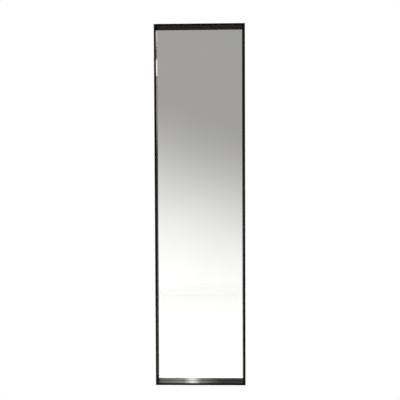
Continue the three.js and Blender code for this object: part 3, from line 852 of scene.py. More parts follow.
@dataclass(frozen=True)
class FibreBoard(Finish):
    """Pressed fibre board: matted fibres, with the screen's print on its back."""

    bend_scale: float = 90.0
    bend: float = 0.02
    fibres: tuple[Colour, Colour] = ((900.0, 300.0, 220.0), (240.0, 300.0, 800.0))
    fibre_depth: float = 0.00008
    fleck_scale: float = 700.0
    screen_pitch: float = 0.0024
    screen_depth: float = 0.00006

    def pattern(self, graph: Graph, effects: Effects) -> tuple[Socket, Socket]:
        """Fibres in three sizes over the screen's print.

        Args:
            graph: The material's graph.
            effects: The shared groups.

        Returns:
            The share of the tone, and a height in metres.
        """
        place = graph.place()
        bent = graph.node("ShaderNodeTexNoise", {"Vector": place, "Scale": self.bend_scale, "Detail": 3.0})
        moved = graph.vector("MULTIPLY_ADD", bent.outputs["Color"], (self.bend,) * 3, place)
        drawn = [graph.vector("MULTIPLY", moved, stretch) for stretch in self.fibres]
        flat, upright = [graph.noise(way, scale=1.0, detail=4, rough=0.65) for way in drawn]
        flecks = graph.spread(graph.noise(place, self.fleck_scale, detail=3, rough=0.6), low=0.62, high=0.72)
        fibres = graph.spread(graph.maths("ADD", flat, upright), low=0.75, high=1.25)
        share = graph.maths("MULTIPLY_ADD", flecks, 0.5, graph.product(fibres, 0.7))
        turns = graph.vector("MULTIPLY", place, (math.tau / self.screen_pitch,) * 3)
        parts = graph.node("ShaderNodeSeparateXYZ", {0: turns}).outputs
        weave = graph.product(graph.maths("SINE", parts["X"]), graph.maths("SINE", parts["Z"]))
        matted = graph.product(fibres, self.fibre_depth)
        height = graph.maths("MULTIPLY_ADD", weave, self.screen_depth, matted)
        return share, height


FINISHES = {
    "bronze": Finish("frame_bronze", (0.0036, 0.0022, 0.0015), (0.006, 0.0038, 0.0026), (0.10, 0.15),
                     metallic=0.14, mottle_size=0.04, stretch=(500.0, 500.0, 9.0), grain_depth=0.0000003,
                     worn=(0.024, 0.015, 0.010), wear=0.18, wear_radius=0.0004, dust=0.004, coat=0.095,
                     coat_roughness=0.035, specular=0.0, edge_tint=(0.46, 0.28, 0.19)),
    "silvered": Finish("mirror_glass", (0.905, 0.915, 0.905), (0.93, 0.93, 0.92), (0.004, 0.012),
                       metallic=1.0, mottle_size=0.15, grain_share=0.0, dust=0.0),
    "glass_edge": Finish("mirror_glass", (0.10, 0.20, 0.16), (0.16, 0.30, 0.24), (0.06, 0.14),
                         mottle_size=0.004, coat=1.0, dust=0.0, soft=0.2),
    "back_paint": Finish("mirror_glass", (0.115, 0.13, 0.15), (0.15, 0.165, 0.185), (0.4, 0.6),
                         mottle_size=0.05, stretch=(60.0, 60.0, 3.0), grain_share=0.5, peel_size=0.0015,
                         peel_depth=0.00002, dust=0.1),
    "tape": Finish("tape", (0.010, 0.010, 0.010), (0.026, 0.025, 0.024), (0.75, 0.95), mottle_size=0.003,
                   peel_size=0.0005, peel_depth=0.00008, dust=0.1),
    "hardboard": FibreBoard("hardboard", (0.085, 0.046, 0.026), (0.185, 0.112, 0.066), (0.62, 0.85),
                            specular=0.3),
    "zinc": Finish("zinc_steel", (0.33, 0.36, 0.40), (0.47, 0.46, 0.41), (0.26, 0.46), metallic=1.0,
                   mottle_size=0.025, stretch=(7.0, 1300.0, 1300.0), grain_share=0.55, grain_depth=0.000004,
                   worn=(0.80, 0.80, 0.79), wear=0.6, wear_radius=0.0004, dust=0.2),
    "spring": Finish("spring_steel", (0.24, 0.26, 0.30), (0.38, 0.36, 0.33), (0.22, 0.38), metallic=1.0,
                     mottle_size=0.01, stretch=(900.0, 900.0, 8.0), grain_share=0.5, grain_depth=0.000004,
                     worn=(0.62, 0.60, 0.56), wear=0.5, wear_radius=0.0003),
    "cage": Finish("cage_steel", (0.50, 0.50, 0.49), (0.62, 0.60, 0.55), (0.20, 0.34), metallic=1.0,
                   mottle_size=0.008, stretch=(10.0, 1500.0, 1500.0), grain_share=0.5, grain_depth=0.000003,
                   worn=(0.82, 0.82, 0.81), wear=0.5, wear_radius=0.0003),
    "ball": Finish("cage_steel", (0.62, 0.63, 0.65), (0.70, 0.70, 0.70), (0.05, 0.14), metallic=1.0,
                   mottle_size=0.002, grain_share=0.2, dust=0.05),
    "coated": Finish("coated_steel", (0.014, 0.012, 0.011), (0.028, 0.024, 0.021), (0.42, 0.58), metallic=0.2,
                     mottle_size=0.006, stretch=(900.0, 900.0, 900.0), grain_share=0.5, peel_size=0.0011,
                     peel_depth=0.00006, worn=(0.26, 0.25, 0.24), wear=0.35, wear_radius=0.0004, dust=0.2,
                     specular=0.3),
    "oxide": Finish("dark_screw", (0.012, 0.011, 0.011), (0.034, 0.028, 0.024), (0.24, 0.42), metallic=0.9,
                    mottle_size=0.002, stretch=(1500.0, 1500.0, 300.0), grain_share=0.4,
                    worn=(0.36, 0.34, 0.32), wear=0.7, wear_radius=0.0003),
    "nylon": Finish("nylon", (0.74, 0.70, 0.60), (0.80, 0.77, 0.68), (0.34, 0.48), mottle_size=0.003,
                    peel_size=0.0004, peel_depth=0.00002, soft=0.4, dust=0.1),
    "plastic": Finish("black_plastic", (0.013, 0.013, 0.014), (0.022, 0.022, 0.022), (0.42, 0.6),
                      mottle_size=0.004, peel_size=0.0005, peel_depth=0.00005, worn=(0.08, 0.08, 0.08),
                      wear=0.5, dust=0.3),
    "magnet": Finish("magnet", (0.20, 0.20, 0.21), (0.31, 0.31, 0.31), (0.26, 0.42), metallic=0.9,
                     mottle_size=0.003, stretch=(1800.0, 1800.0, 60.0), grain_share=0.7, grain_depth=0.000006,
                     worn=(0.55, 0.55, 0.55), wear=0.6),
    "rubber": Finish("rubber", (0.012, 0.012, 0.012), (0.028, 0.027, 0.026), (0.72, 0.9), mottle_size=0.004,
                     peel_size=0.0008, peel_depth=0.00005, dust=0.4),
}


# Geometry node trees


def realized(graph: Graph, copies: Node, finish: Socket) -> Tree:
    """Makes a tree's copies real, gives them their material and closes the tree.

    Args:
        graph: The tree's graph.
        copies: The node that sets out the copies.
        finish: The material that comes in.

    Returns:
        The tree.
    """
    real = graph.node("GeometryNodeRealizeInstances", {0: copies.outputs[0]}).outputs[0]
    done = graph.node("GeometryNodeSetMaterial", {"Geometry": real, "Material": finish})
    return graph.closed(done.outputs[0])


def copies_tree() -> Tree:
    """Tree that sets a part out at every point, turned as the point says.

    Returns:
        The tree.
    """
    inputs = {"Part": "NodeSocketObject", "Finish": "NodeSocketMaterial"}
    graph, given = geometry_tree("set_out_copies", inputs)
    part = graph.node("GeometryNodeObjectInfo", {"Object": given["Part"]})
    turn = graph.node("GeometryNodeInputNamedAttribute", {"Name": "turn"}, data_type="FLOAT_VECTOR")
    facing = graph.node("FunctionNodeEulerToRotation", {0: turn.outputs["Attribute"]})
    copies = graph.node("GeometryNodeInstanceOnPoints", {
        "Points": given["Geometry"],
        "Instance": part.outputs["Geometry"],
        "Rotation": facing.outputs[0],
    })
    return realized(graph, copies, given["Finish"])


def ball_rows_tree() -> Tree:
    """Tree that fills two rows of a cage with balls, one above and one below its middle.

    Returns:
        The tree.
    """
    inputs = {"Count": "NodeSocketInt", "Pitch": FLOAT, "Rise": FLOAT, "Radius": FLOAT, "Start": VECTOR,
              "Finish": "NodeSocketMaterial"}
    graph, given = geometry_tree("ball_rows", inputs)
    step = graph.node("ShaderNodeCombineXYZ", {0: given["Pitch"]}).outputs[0]
    line = {"Count": given["Count"], "Start Location": given["Start"], "Offset": step}
    row = graph.node("GeometryNodeMeshLine", line).outputs[0]
    rows = graph.node("GeometryNodeJoinGeometry")
    for side in (1.0, -1.0):
        lift = graph.node("ShaderNodeCombineXYZ", {2: graph.product(given["Rise"], side)}).outputs[0]
        moved = graph.node("GeometryNodeTransform", {"Geometry": row, "Translation": lift})
        graph.feed(rows.inputs[0], moved.outputs[0])
    ball = graph.node("GeometryNodeMeshIcoSphere", {"Radius": given["Radius"], "Subdivisions": 4})
    smooth = graph.node("GeometryNodeSetShadeSmooth", {"Geometry": ball.outputs[0]}).outputs[0]
    copies = graph.node("GeometryNodeInstanceOnPoints", {"Points": rows.outputs[0], "Instance": smooth})
    return realized(graph, copies, given["Finish"])


def grown(name: str, base: bpy.types.Mesh, tree: Tree, values: Mapping[str, object]) -> Piece:
    """Plain mesh object that a geometry tree makes from a base mesh.

    Args:
        name: The object's name.
        base: The mesh that the tree starts from.
        tree: The geometry tree.
        values: Values of its named inputs.

    Returns:
        The object.
    """
    made = bpy.data.objects.new(name, base)
    bpy.context.scene.collection.objects.link(made)
    live = made.modifiers.new(tree.name, "NODES")
    live.node_group = tree
    for socket in tree.interface.items_tree:
        if socket.in_out == "INPUT" and socket.name in values:
            live[socket.identifier] = values[socket.name]
    return plain_mesh(made)


# Setting each piece on its body


class Workshop:
    """The finishes and the tree of copies, and the setting of each piece on its body."""

    def __init__(self) -> None:
        """Builds every finish and the tree once."""
        effects = Effects()
        self.looks = {name: finish.build(effects) for name, finish in FINISHES.items()}
        self.copies = copies_tree()

    def set_in(self, made: Piece, body: str, finish: str, stands_for: Sequence[str] = ()) -> None:
        """Gives a piece its finish where it has none, its body and the nodes that it stands for.

        Args:
            made: The piece, in place.
            body: The CAD body that it rides on.
            finish: Short name of its finish.
            stands_for: CAD nodes that it replaces.
        """
        if not made.data.materials:
            made.data.materials.append(self.looks[finish])
        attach(made, body)
        if stands_for:
            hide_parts(*stands_for)
        log.info("%s rides on %s, %d faces", made.name, body, len(made.data.polygons))

    def dress_node(self, node: str, finish: str) -> None:
        """Gives a CAD node that stays a better material.

        Args:
            node: The CAD node.
            finish: Short name of its finish.
        """
        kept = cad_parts[node]
        for holder in kept.material_slots:
            holder.material = self.looks[finish]
        log.info("%s keeps its CAD shape in %s", node, finish)

    def dress_copy(self, node: str, name: str, body: str, finish: str, edge: float, steps: int = 3) -> None:
        """Sets in a copy of a CAD node with its corners rounded over.

        Args:
            node: The CAD node, which the copy replaces.
            name: The copy's name.
            body: The CAD body that it rides on.
            finish: Short name of its finish.
            edge: Radius of the rounded corners, in millimetres.
            steps: Steps across a rounded corner.
        """
        self.set_in(fine_copy(node, name, edge, steps), body, finish, [node])

    def set_out(self, name: str, part: Piece, places: Sequence[tuple[Vector, Vector]], body: str, finish: str,
                stands_for: Sequence[str]) -> None:
        """Sets in copies of a part as one mesh.

        Args:
            name: The piece's name.
            part: The part at the origin, which is used up.
            places: A place in millimetres and a turn in radians for each copy.
            body: The CAD body that they ride on.
            finish: Short name of their finish.
            stands_for: CAD nodes that they replace.
        """
        points = bpy.data.meshes.new(name + "_places")
        points.from_pydata([place * MM for place, _ in places], [], [])
        turns = points.attributes.new("turn", "FLOAT_VECTOR", "POINT")
        turns.data.foreach_set("vector", [angle for _, turn in places for angle in turn])
        made = grown(name, points, self.copies, {"Part": part, "Finish": self.looks[finish]})
        bpy.data.objects.remove(part)
        self.set_in(made, body, finish, stands_for)


@dataclass(frozen=True)
class Assembly:
    """A sub-assembly, whose sizes are in millimetres, and the workshop that sets its pieces in."""

    workshop: Workshop


# Frame of the mirror


@dataclass(frozen=True)
class MirrorFrame(Assembly):
    """Four mitred members with a box lip, a glazing rebate and a rear channel, and their corner keys.

    screw_plain is how much of a set screw has no thread at its point and at its socket.
    """

    lip: float = 6.9
    wall: float = 1.4
    tape_space: float = 1.0
    seat: float = 0.2
    flange_steel: float = 1.3
    channel_lip: float = 1.3
    flange: float = 9.0
    slot: float = 3.8
    mitre_gap: float = 0.1
    face_round: float = 0.5
    back_round: float = 0.35
    end_round: float = 0.08
    key_leg: float = 46.0
    key_rounds: tuple[float, ...] = (0.5, 1.2, 1.2, 0.8, 1.2, 1.2)
    key_edge: float = 0.3
    key_hole: float = 1.75
    key_screw_inset: float = 15.0
    screw_point: float = 0.25
    screw_point_shares: Pair = (0.55, 0.75)
    screw_end_shares: Pair = (0.8, 0.72)
    screw_pitch: float = 0.5
    screw_plain: Pair = (0.4, 0.2)
    socket_share: float = 0.5
    socket_depth: float = 1.4

    @property
    def depth(self) -> float:
        """Depth of the section from its front face to its back."""
        return box_of("frame_left_stile").depth

    @property
    def ledge(self) -> float:
        """Depth of the ledge that the tape and the glass lie behind."""
        return box_of("mirror_glass").low.y - box_of("frame_left_stile").low.y - self.tape_space

    @property
    def channel_floor(self) -> float:
        """Depth of the rear channel's floor, which the corner keys lie on."""
        return box_of("corner_key_top_left").low.y - box_of("frame_left_stile").low.y - self.seat

    def section(self) -> tuple[Outline, Outline]:
        """Outline of a member, inward from its outer edge and back from its front, and its chamber.

        Returns:
            The outline and the chamber.
        """
        middle = self.flange / 2
        near, far = middle - self.slot / 2, middle + self.slot / 2
        inner = self.flange - self.wall
        lips = self.depth - self.channel_lip
        flange_front = self.channel_floor - self.flange_steel
        corners = [
            (0, 0), (self.lip, 0), (self.lip, self.ledge), (self.wall, self.ledge),
            (self.wall, flange_front), (self.flange, flange_front), (self.flange, self.depth),
            (far, self.depth), (far, lips), (inner, lips), (inner, self.channel_floor),
            (self.wall, self.channel_floor), (self.wall, lips), (near, lips), (near, self.depth),
            (0, self.depth),
        ]
        radii = [self.face_round] * 2 + [self.back_round] * (len(corners) - 2)
        chamber = rectangle(self.lip - 2 * self.wall, self.ledge - 2 * self.wall, self.back_round,
                            (self.lip / 2, self.ledge / 2), steps=3)
        return rounded(corners, radii), chamber

    def member(self, name: str, length: float, inward: Vector, along: Vector, corner: Vector) -> Piece:
        """One member with mitred ends.

        Args:
            name: The object's name.
            length: Length along the outer edge.
            inward: Direction towards the glass.
            along: Direction of its length.
            corner: Where its outer edge starts, at the front.

        Returns:
            The member.
        """
        outline, chamber = self.section()
        solid = prism(outline, length, [chamber], self.end_round, steps=1)
        for vert in solid.verts:
            step = max(vert.co.x, 0) + self.mitre_gap
            vert.co.z += step if vert.co.z < length / 2 else -step
        return solid_object(name, [(solid, basis(inward, Y_AXIS, along, corner))])

    def corner_key(self) -> Piece:
        """L-shaped key of one corner at the origin, drawn from the frame's outer corner.

        Returns:
            The key.
        """
        key = box_of("corner_key_bottom_left")
        inset = key.low.x - box_of("frame_left_stile").low.x
        middle = self.flange / 2
        far = inset + 2 * (middle - inset)
        end = middle + self.key_leg
        corners = [(inset, inset), (end, inset), (end, far), (far, far), (far, end), (inset, end)]
        along = end - self.key_screw_inset
        holes = [circle(self.key_hole, place, sides=28) for place in ((middle, along), (along, middle))]
        solid = prism(rounded(corners, self.key_rounds), key.depth, holes, self.key_edge)
        return solid_object("corner_key_part", [(solid, towards_front(ORIGIN))])

    def set_screw(self, length: float, radius: float) -> Piece:
        """Threaded set screw along +Y from its point at the origin, with a hexagon socket in its far end.

        Args:
            length: Length over all.
            radius: Crest radius of the thread.

        Returns:
            The screw.
        """
        blunt, wide = self.screw_point_shares
        shoulder, face = self.screw_end_shares
        start, end = self.screw_plain
        socket = radius * self.socket_share
        rings = [Ring(radius * blunt, 0), Ring(radius * wide, 0), Ring(radius * shoulder, self.screw_point)]
        rings += threaded(radius, start, length - self.screw_pitch, self.screw_pitch)
        rings += [Ring(radius * shoulder, length - end), Ring(radius * face, length)]
        rings += [Ring(socket, height, Round.HEXAGON) for height in (length, length - self.socket_depth)]
        return solid_object("set_screw_part", [(turned(rings, 24), basis(X_AXIS, -Z_AXIS, Y_AXIS, ORIGIN))])

    def build(self) -> None:
        """Builds the members, the keys and the set screws."""
        left, right, bottom, top = [box_of(f"frame_{name}")
                                    for name in ("left_stile", "right_stile", "bottom_rail", "top_rail")]
        width, height = right.high.x - left.low.x, top.high.z - bottom.low.z
        start = Vector((left.low.x, bottom.low.y, bottom.low.z))
        members = [
            ("left_stile", height, X_AXIS, Z_AXIS, start),
            ("right_stile", height, -X_AXIS, Z_AXIS, start + X_AXIS * width),
            ("bottom_rail", width, Z_AXIS, X_AXIS, start),
            ("top_rail", width, -Z_AXIS, X_AXIS, start + Z_AXIS * height),
        ]
        for name, length, inward, along, corner in members:
            made = self.member(name, length, inward, along, corner)
            self.workshop.set_in(made, "mirror", "bronze", [f"frame_{name}"])
        self.build_keys(width / 2, height / 2)

    def build_keys(self, half_width: float, half_height: float) -> None:
        """Builds the corner keys and their set screws.

        Args:
            half_width: Half the frame's width.
            half_height: Half the frame's height.
        """
        back = box_of("corner_key_bottom_left").high.y
        turns = {"bottom_left": 0, "bottom_right": -1, "top_right": 2, "top_left": 1}
        places = []
        for corner, turn in turns.items():
            x = -half_width if "left" in corner else half_width
            z = -half_height if "bottom" in corner else half_height
            places.append((Vector((x, back, z)), Vector((0, turn * math.pi / 2, 0))))
        keys = [f"corner_key_{corner}" for corner in turns]
        self.workshop.set_out("corner_keys", self.corner_key(), places, "mirror", "zinc", keys)
        nodes = [f"key_screw_{corner}_{i}" for corner in turns for i in (1, 2)]
        boxes = [box_of(node) for node in nodes]
        places = [(Vector((box.middle.x, boxes[0].low.y, box.middle.z)), UNTURNED) for box in boxes]
        screw = self.set_screw(boxes[0].depth, boxes[0].width / 2)
        self.workshop.set_out("corner_set_screws", screw, places, "mirror", "oxide", nodes)


@dataclass(frozen=True)
class MirrorPane(Assembly):
    """The silvered glass, its tape, the board behind it and the spring clips.

    clip_foot is how far a clip's end turns down, and how far it stops short of the clip's length.
    """

    arris: float = 0.6
    corner: float = 1.2
    flat_share: float = 0.999
    board_edge: float = 0.35
    clip_steel: float = 0.5
    clip_edge: float = 0.12
    clip_tip: float = 1.4
    clip_foot: Pair = (0.45, 0.1)
    clip_steps: int = 24

    def pane(self) -> Piece:
        """Glass with polished edges: silvered front, green sides and painted back.

        Returns:
            The pane.
        """
        glass = box_of("mirror_glass")
        shape = rectangle(glass.width, glass.height, self.corner)
        solid = prism(shape, glass.depth, (), self.arris, steps=3)
        made = solid_object("mirror_pane", [(solid, towards_front((0, glass.high.y, 0)))])
        for finish in ("silvered", "glass_edge", "back_paint"):
            made.data.materials.append(self.workshop.looks[finish])
        for face in made.data.polygons:
            back = face.normal.y > self.flat_share
            face.material_index = 0 if face.normal.y < -self.flat_share else 2 if back else 1
        return made

    def clip(self) -> Piece:
        """Bowed spring strip at the origin, its length along Z, its bow towards +Y.

        Returns:
            The clip.
        """
        box = box_of("spring_clip_left_1")
        half, count = box.height / 2, self.clip_steps
        rise = box.depth - self.clip_steel
        start, run = self.clip_tip - half, 2 * half - 2 * self.clip_tip
        shares = [k / count for k in range(count + 1)]
        bow = [Vector((-rise * math.sin(math.pi * share), start + run * share)) for share in shares]
        foot, gap = self.clip_foot
        line = [Vector((-foot, gap - half)), *bow, Vector((-foot, half - gap))]
        solid = prism(strip(line, self.clip_steel), box.width, (), self.clip_edge)
        place = along_x((-box.width / 2, -box.depth / 2 + self.clip_steel / 2, 0))
        return solid_object("spring_clip_part", [(solid, place)])

    def build(self) -> None:
        """Builds the pane and the clips and dresses the tape and the board."""
        self.workshop.set_in(self.pane(), "mirror", "silvered", ["mirror_glass"])
        self.workshop.dress_node("glazing_tape", "tape")
        self.workshop.dress_copy("backing_board", "back_board", "mirror", "hardboard", self.board_edge,
                                 steps=2)
        nodes = [f"spring_clip_{side}_{i}" for side in ("left", "right") for i in (1, 2)]
        places = [(box_of(node).middle, UNTURNED) for node in nodes]
        self.workshop.set_out("spring_clips", self.clip(), places, "mirror", "spring", nodes)


# Slides


@dataclass(frozen=True)
class SlidePair(Assembly):
    """Upper and lower full-extension slides, each with two cages of balls and a buffer."""

    steel: float = 1.2
    bend: float = 1.6
    end_round: float = 0.18
    depth: float = 12.7
    lip: float = 3.0
    lip_bend: float = 1.0
    race_start: float = 0.6
    race_end: float = 0.3
    race_rise: float = 0.35
    race_half: float = 2.3
    race_steps: int = 16
    ball_depth: float = 7.5
    outer_ball: float = 1.95
    inner_ball: float = 1.7
    balls_per_row: int = 7
    cage_steel: float = 0.6
    cage_bend: float = 1.1
    cage_edge: float = 0.12
    cage_margin: float = 2.4
    slot_length: float = 22.0
    slot_width: float = 8.0
    hole_radius: float = 3.0
    hole_gap: float = 12.0
    screw_hole: float = 1.95
    stop_inset: float = 26.0
    stop_length: float = 14.0
    stop_width: float = 3.2
    stop_gap: float = 15.0
    stop_hole: float = 2.1
    buffer_edge: float = 0.5

    @property
    def back(self) -> float:
        """Y of the plate's front face, which the cabinet members lie on."""
        return box_of("mounting_plate").low.y

    def race(self, height: float, start: float, end: float) -> Outline:
        """Flange line from one depth to another, dished outward where the balls run.

        Args:
            height: Height of the flange's middle where the balls run.
            start: Depth where the line starts.
            end: Depth where it ends.

        Returns:
            The line's points.
        """
        line = []
        for k in range(self.race_steps + 1):
            depth = start + (end - start) * k / self.race_steps
            near = min(abs(depth - self.ball_depth) / self.race_half, 1)
            line.append(Vector((depth, height - self.race_rise * (0.5 - 0.5 * math.cos(math.pi * near)))))
        return line

    def cabinet_line(self, height: float) -> Outline:
        """Centre line of the cabinet member's section.

        Args:
            height: Full height of the member.

        Returns:
            The line.
        """
        web, front = self.steel / 2, self.depth - self.steel
        start, end = web + self.bend + self.race_start, front - self.bend - self.race_end
        race = self.race(height / 2 - web, start, end)
        drop = race[0].y
        corners = [(web, 0), (web, drop), *race[:-1], (front, race[-1].y), (front, drop - self.lip)]
        radii = [0, self.bend] + [0] * (len(race) - 1) + [self.lip_bend, 0]
        upper = rounded(corners, radii, closed=False)[1:]
        return [Vector((point.x, -point.y)) for point in upper[::-1]] + upper

    def swept(self, name: str, box: Box, line: Outline, steel: float, edge: float) -> Piece:
        """Sheet swept along X between the ends of a CAD node's box.

        Args:
            name: The object's name.
            box: The CAD node's box.
            line: Centre line of the section, in depth from the slide's back and in height.
            steel: Thickness of the sheet.
            edge: Radius of the rims of its ends.

        Returns:
            The sheet.
        """
        solid = prism(strip(line, steel), box.width, (), edge)
        return solid_object(name, [(solid, along_x((box.low.x, self.back, box.middle.z)))])

    def web_cutter(self, z: float) -> Piece:
        """Access slots and holes of the cabinet member's web.

        Args:
            z: Height of the slide.

        Returns:
            The cutter.
        """
        half = box_of("mounting_plate").width / 2
        shapes = []
        for side in (-1, 1):
            slot_x = side * (half + self.slot_length)
            hole_x = slot_x + side * (self.slot_length / 2 + self.hole_gap)
            shapes += [slotted(self.slot_length, self.slot_width, (slot_x, z), steps=12),
                       circle(self.hole_radius, (hole_x, z))]
        return cutter("web_cutter", shapes, self.back + self.steel, 3 * self.steel)

    def screw_cutter(self, level: str) -> Piece:
        """Holes of the inner member's web for the carrier's screws.

        Args:
            level: Upper or lower.

        Returns:
            The cutter.
        """
        boxes = [box_of(f"{level}_carrier_screw_{i}") for i in (1, 2)]
        shapes = [circle(self.screw_hole, (box.middle.x, box.middle.z)) for box in boxes]
        return cutter("screw_cutter", shapes, boxes[0].high.y + self.steel, boxes[0].depth)

    def stop_cutter(self, box: Box, ends: Sequence[int]) -> Piece:
        """Lanced slots and round holes of the stops in a member's web.

        Args:
            box: Box of the member's CAD node.
            ends: The ends that have a stop, -1 for the rear one and 1 for the front one.

        Returns:
            The cutter.
        """
        shapes = []
        for side in ends:
            x = box.middle.x + side * (box.width / 2 - self.stop_inset)
            shapes += [slotted(self.stop_length, self.stop_width, (x, box.middle.z)),
                       circle(self.stop_hole, (x - side * self.stop_gap, box.middle.z), sides=24)]
        return cutter("stop_cutter", shapes, box.high.y + self.steel, box.depth + 2 * self.steel)

    def ball_row(self, node: str) -> Pair:
        """Height of a cage's rows above its middle, and the balls' radius."""
        radius = self.outer_ball if "outer" in node else self.inner_ball
        return box_of(node).height / 2 - radius, radius

    def cage(self, name: str, node: str) -> Piece:
        """U-shaped strip of a ball cage.

        Args:
            name: The object's name.
            node: The CAD node that it stands for.

        Returns:
            The strip.
        """
        box = box_of(node)
        web = self.back - box.high.y + self.cage_steel / 2
        rise, radius = self.ball_row(node)
        tip = self.ball_depth + radius + self.cage_margin / 2
        return self.swept(name, box, channel(web, tip, rise, self.cage_bend), self.cage_steel, self.cage_edge)

    def balls(self, name: str, node: str, tree: Tree, finish: Material) -> Piece:
        """Two rows of balls of a cage.

        Args:
            name: The object's name.
            node: The cage's CAD node.
            tree: The geometry tree of the rows.
            finish: The balls' material.

        Returns:
            The balls.
        """
        box = box_of(node)
        rise, radius = self.ball_row(node)
        inset = self.cage_margin + radius
        pitch = (box.width - 2 * inset) / (self.balls_per_row - 1)
        start = Vector((box.low.x + inset, self.back - self.ball_depth, box.middle.z))
        values = {"Count": self.balls_per_row, "Pitch": pitch * MM, "Rise": rise * MM, "Radius": radius * MM,
                  "Start": start * MM, "Finish": finish}
        return grown(name, bpy.data.meshes.new(name), tree, values)

    def build_members(self, level: str) -> None:
        """Builds the three members of a slide.

        Args:
            level: Upper or lower.
        """
        cabinet, middle, inner = [box_of(f"{level}_{kind}_member") for kind in ("cabinet", "middle", "inner")]
        web, back = self.steel / 2, self.back
        members = [
            ("cabinet", "panel_side", cabinet, self.cabinet_line(cabinet.height),
             [self.web_cutter(cabinet.middle.z)]),
            ("middle", "middle_members", middle,
             channel(back - middle.high.y + web, back - middle.low.y, middle.height / 2 - web, self.bend),
             [self.stop_cutter(middle, (-1, 1))]),
            ("inner", "carriage", inner,
             channel(back - inner.low.y - web, back - inner.high.y, inner.height / 2 - web, self.bend),
             [self.screw_cutter(level), self.stop_cutter(inner, (-1,))]),
        ]
        for kind, body, box, line, cutters in members:
            made = self.swept(f"{level}_{kind}_channel", box, line, self.steel, self.end_round)
            for taken in cutters:
                pierced(made, taken)
            self.workshop.set_in(made, body, "zinc", [f"{level}_{kind}_member"])

    def build(self) -> None:
        """Builds both slides."""
        tree = ball_rows_tree()
        for level in LEVELS:
            self.build_members(level)
            for row in ("outer", "inner"):
                name, node, body = f"{level}_{row}", f"{level}_{row}_ball_cage", f"{row}_ball_cages"
                self.workshop.set_in(self.cage(f"{name}_cage_strip", node), body, "cage", [node])
                balls = self.balls(f"{name}_balls", node, tree, self.workshop.looks["ball"])
                self.workshop.set_in(balls, body, "ball")
            self.workshop.dress_copy(f"{level}_rear_buffer", f"{level}_buffer_block", "panel_side", "rubber",
                                     self.buffer_edge)


# Screws, bolts and bushes


@dataclass(frozen=True)
class PanScrew:
    """Pan-head screw with a hexagon socket and a cut thread.

    rim is the inset and the height of the head's lower edge, and plain is how much of the shank has no
    thread at its point and under the head.
    """

    head_radius: float = 3.5
    head_height: float = 2.2
    rim: Pair = (0.15, 0.12)
    side: float = 0.7
    crown_inset: float = 1.55
    crown_steps: int = 8
    shank_radius: float = 1.7
    pitch: float = 0.7
    point_shares: Pair = (0.5, 0.7)
    plain: Pair = (0.4, 0.5)
    neck: float = 0.2
    neck_share: float = 0.85
    socket: float = 1.1
    socket_shares: Pair = (1.35, 1.18)
    socket_drops: Pair = (0.15, 1.3)

    def build(self, length: float) -> Piece:
        """Screw at the origin along Y: its head towards -Y, its threaded shank towards +Y.

        Args:
            length: Length over all.

        Returns:
            The screw.
        """
        head, top, side = self.head_radius, self.head_height, self.side
        shank = length - top
        neck = self.shank_radius * self.neck_share
        rings = [Ring(self.shank_radius * share, -shank) for share in self.point_shares]
        rings += threaded(self.shank_radius, self.plain[0] - shank, -self.plain[1], self.pitch)
        rings += [Ring(neck, -self.neck), Ring(neck, 0), Ring(head - self.rim[0], 0), Ring(head, self.rim[1]),
                  Ring(head, side)]
        for k in range(1, self.crown_steps):
            turn = math.pi / 2 * k / self.crown_steps
            inset = self.crown_inset * (1 - math.cos(turn))
            rings.append(Ring(head - inset, side + (top - side) * math.sin(turn)))
        rings += [Ring(self.socket * share, top) for share in self.socket_shares]
        rings += [Ring(self.socket, top - drop, Round.HEXAGON) for drop in self.socket_drops]
        return solid_object("pan_screw_part", [(turned(rings), towards_front(ORIGIN))])


@dataclass(frozen=True)
class ShoulderBolt:
    """Pivot bolt: a thread, a smooth shoulder, and a knurled head with a hexagon socket.

    A chamfer is an inset and a height. crown has insets and drops from the top, and socket_lead has
    radii and drops.
    """

    end_radii: tuple[float, float, float] = (1.5, 1.7, 1.75)
    end_chamfer: float = 0.3
    thread_radius: float = 2.0
    pitch: float = 0.7
    plain: float = 0.4
    relief_radius: float = 1.6
    relief: float = 0.5
    shoulder_radius: float = 2.5
    shoulder_chamfer: Pair = (0.1, 0.12)
    bush_gap: float = 0.2
    head_chamfer: Pair = (0.2, 0.15)
    knurl_drop: float = 0.5
    crown: tuple[Pair, Pair] = ((0.35, 0.15), (0.8, 0.0))
    socket: float = 1.5
    socket_lead: tuple[Pair, Pair] = ((1.95, 0.0), (1.75, 0.1))
    socket_drops: Pair = (0.2, 1.6)

    def build(self, level: str) -> Piece:
        """Bolt of a level, its head up.

        Args:
            level: Upper or lower.

        Returns:
            The bolt.
        """
        box, bush = box_of(f"{level}_pivot_bolt"), box_of(f"{level}_pivot_bush")
        seat = bush.low.z - box.low.z
        under = bush.high.z + self.bush_gap - box.low.z
        top, head = box.height, box.width / 2
        inset, rise = self.head_chamfer
        rings = [Ring(radius, height) for radius, height in zip(self.end_radii, (0, 0, self.end_chamfer))]
        rings += threaded(self.thread_radius, self.plain, seat - self.pitch, self.pitch)
        rings += [Ring(self.relief_radius, seat - self.relief), Ring(self.relief_radius, seat),
                  Ring(self.shoulder_radius - self.shoulder_chamfer[0], seat),
                  Ring(self.shoulder_radius, seat + self.shoulder_chamfer[1]),
                  Ring(self.shoulder_radius, under), Ring(head - inset, under),
                  Ring(head, under + rise, Round.KNURL), Ring(head, top - self.knurl_drop, Round.KNURL)]
        rings += [Ring(head - inward, top - drop) for inward, drop in self.crown]
        rings += [Ring(radius, top - drop) for radius, drop in self.socket_lead]
        rings += [Ring(self.socket, top - drop, Round.HEXAGON) for drop in self.socket_drops]
        return solid_object(f"{level}_shoulder_bolt", [(turned(rings, 72), Matrix.Translation(box.foot))])


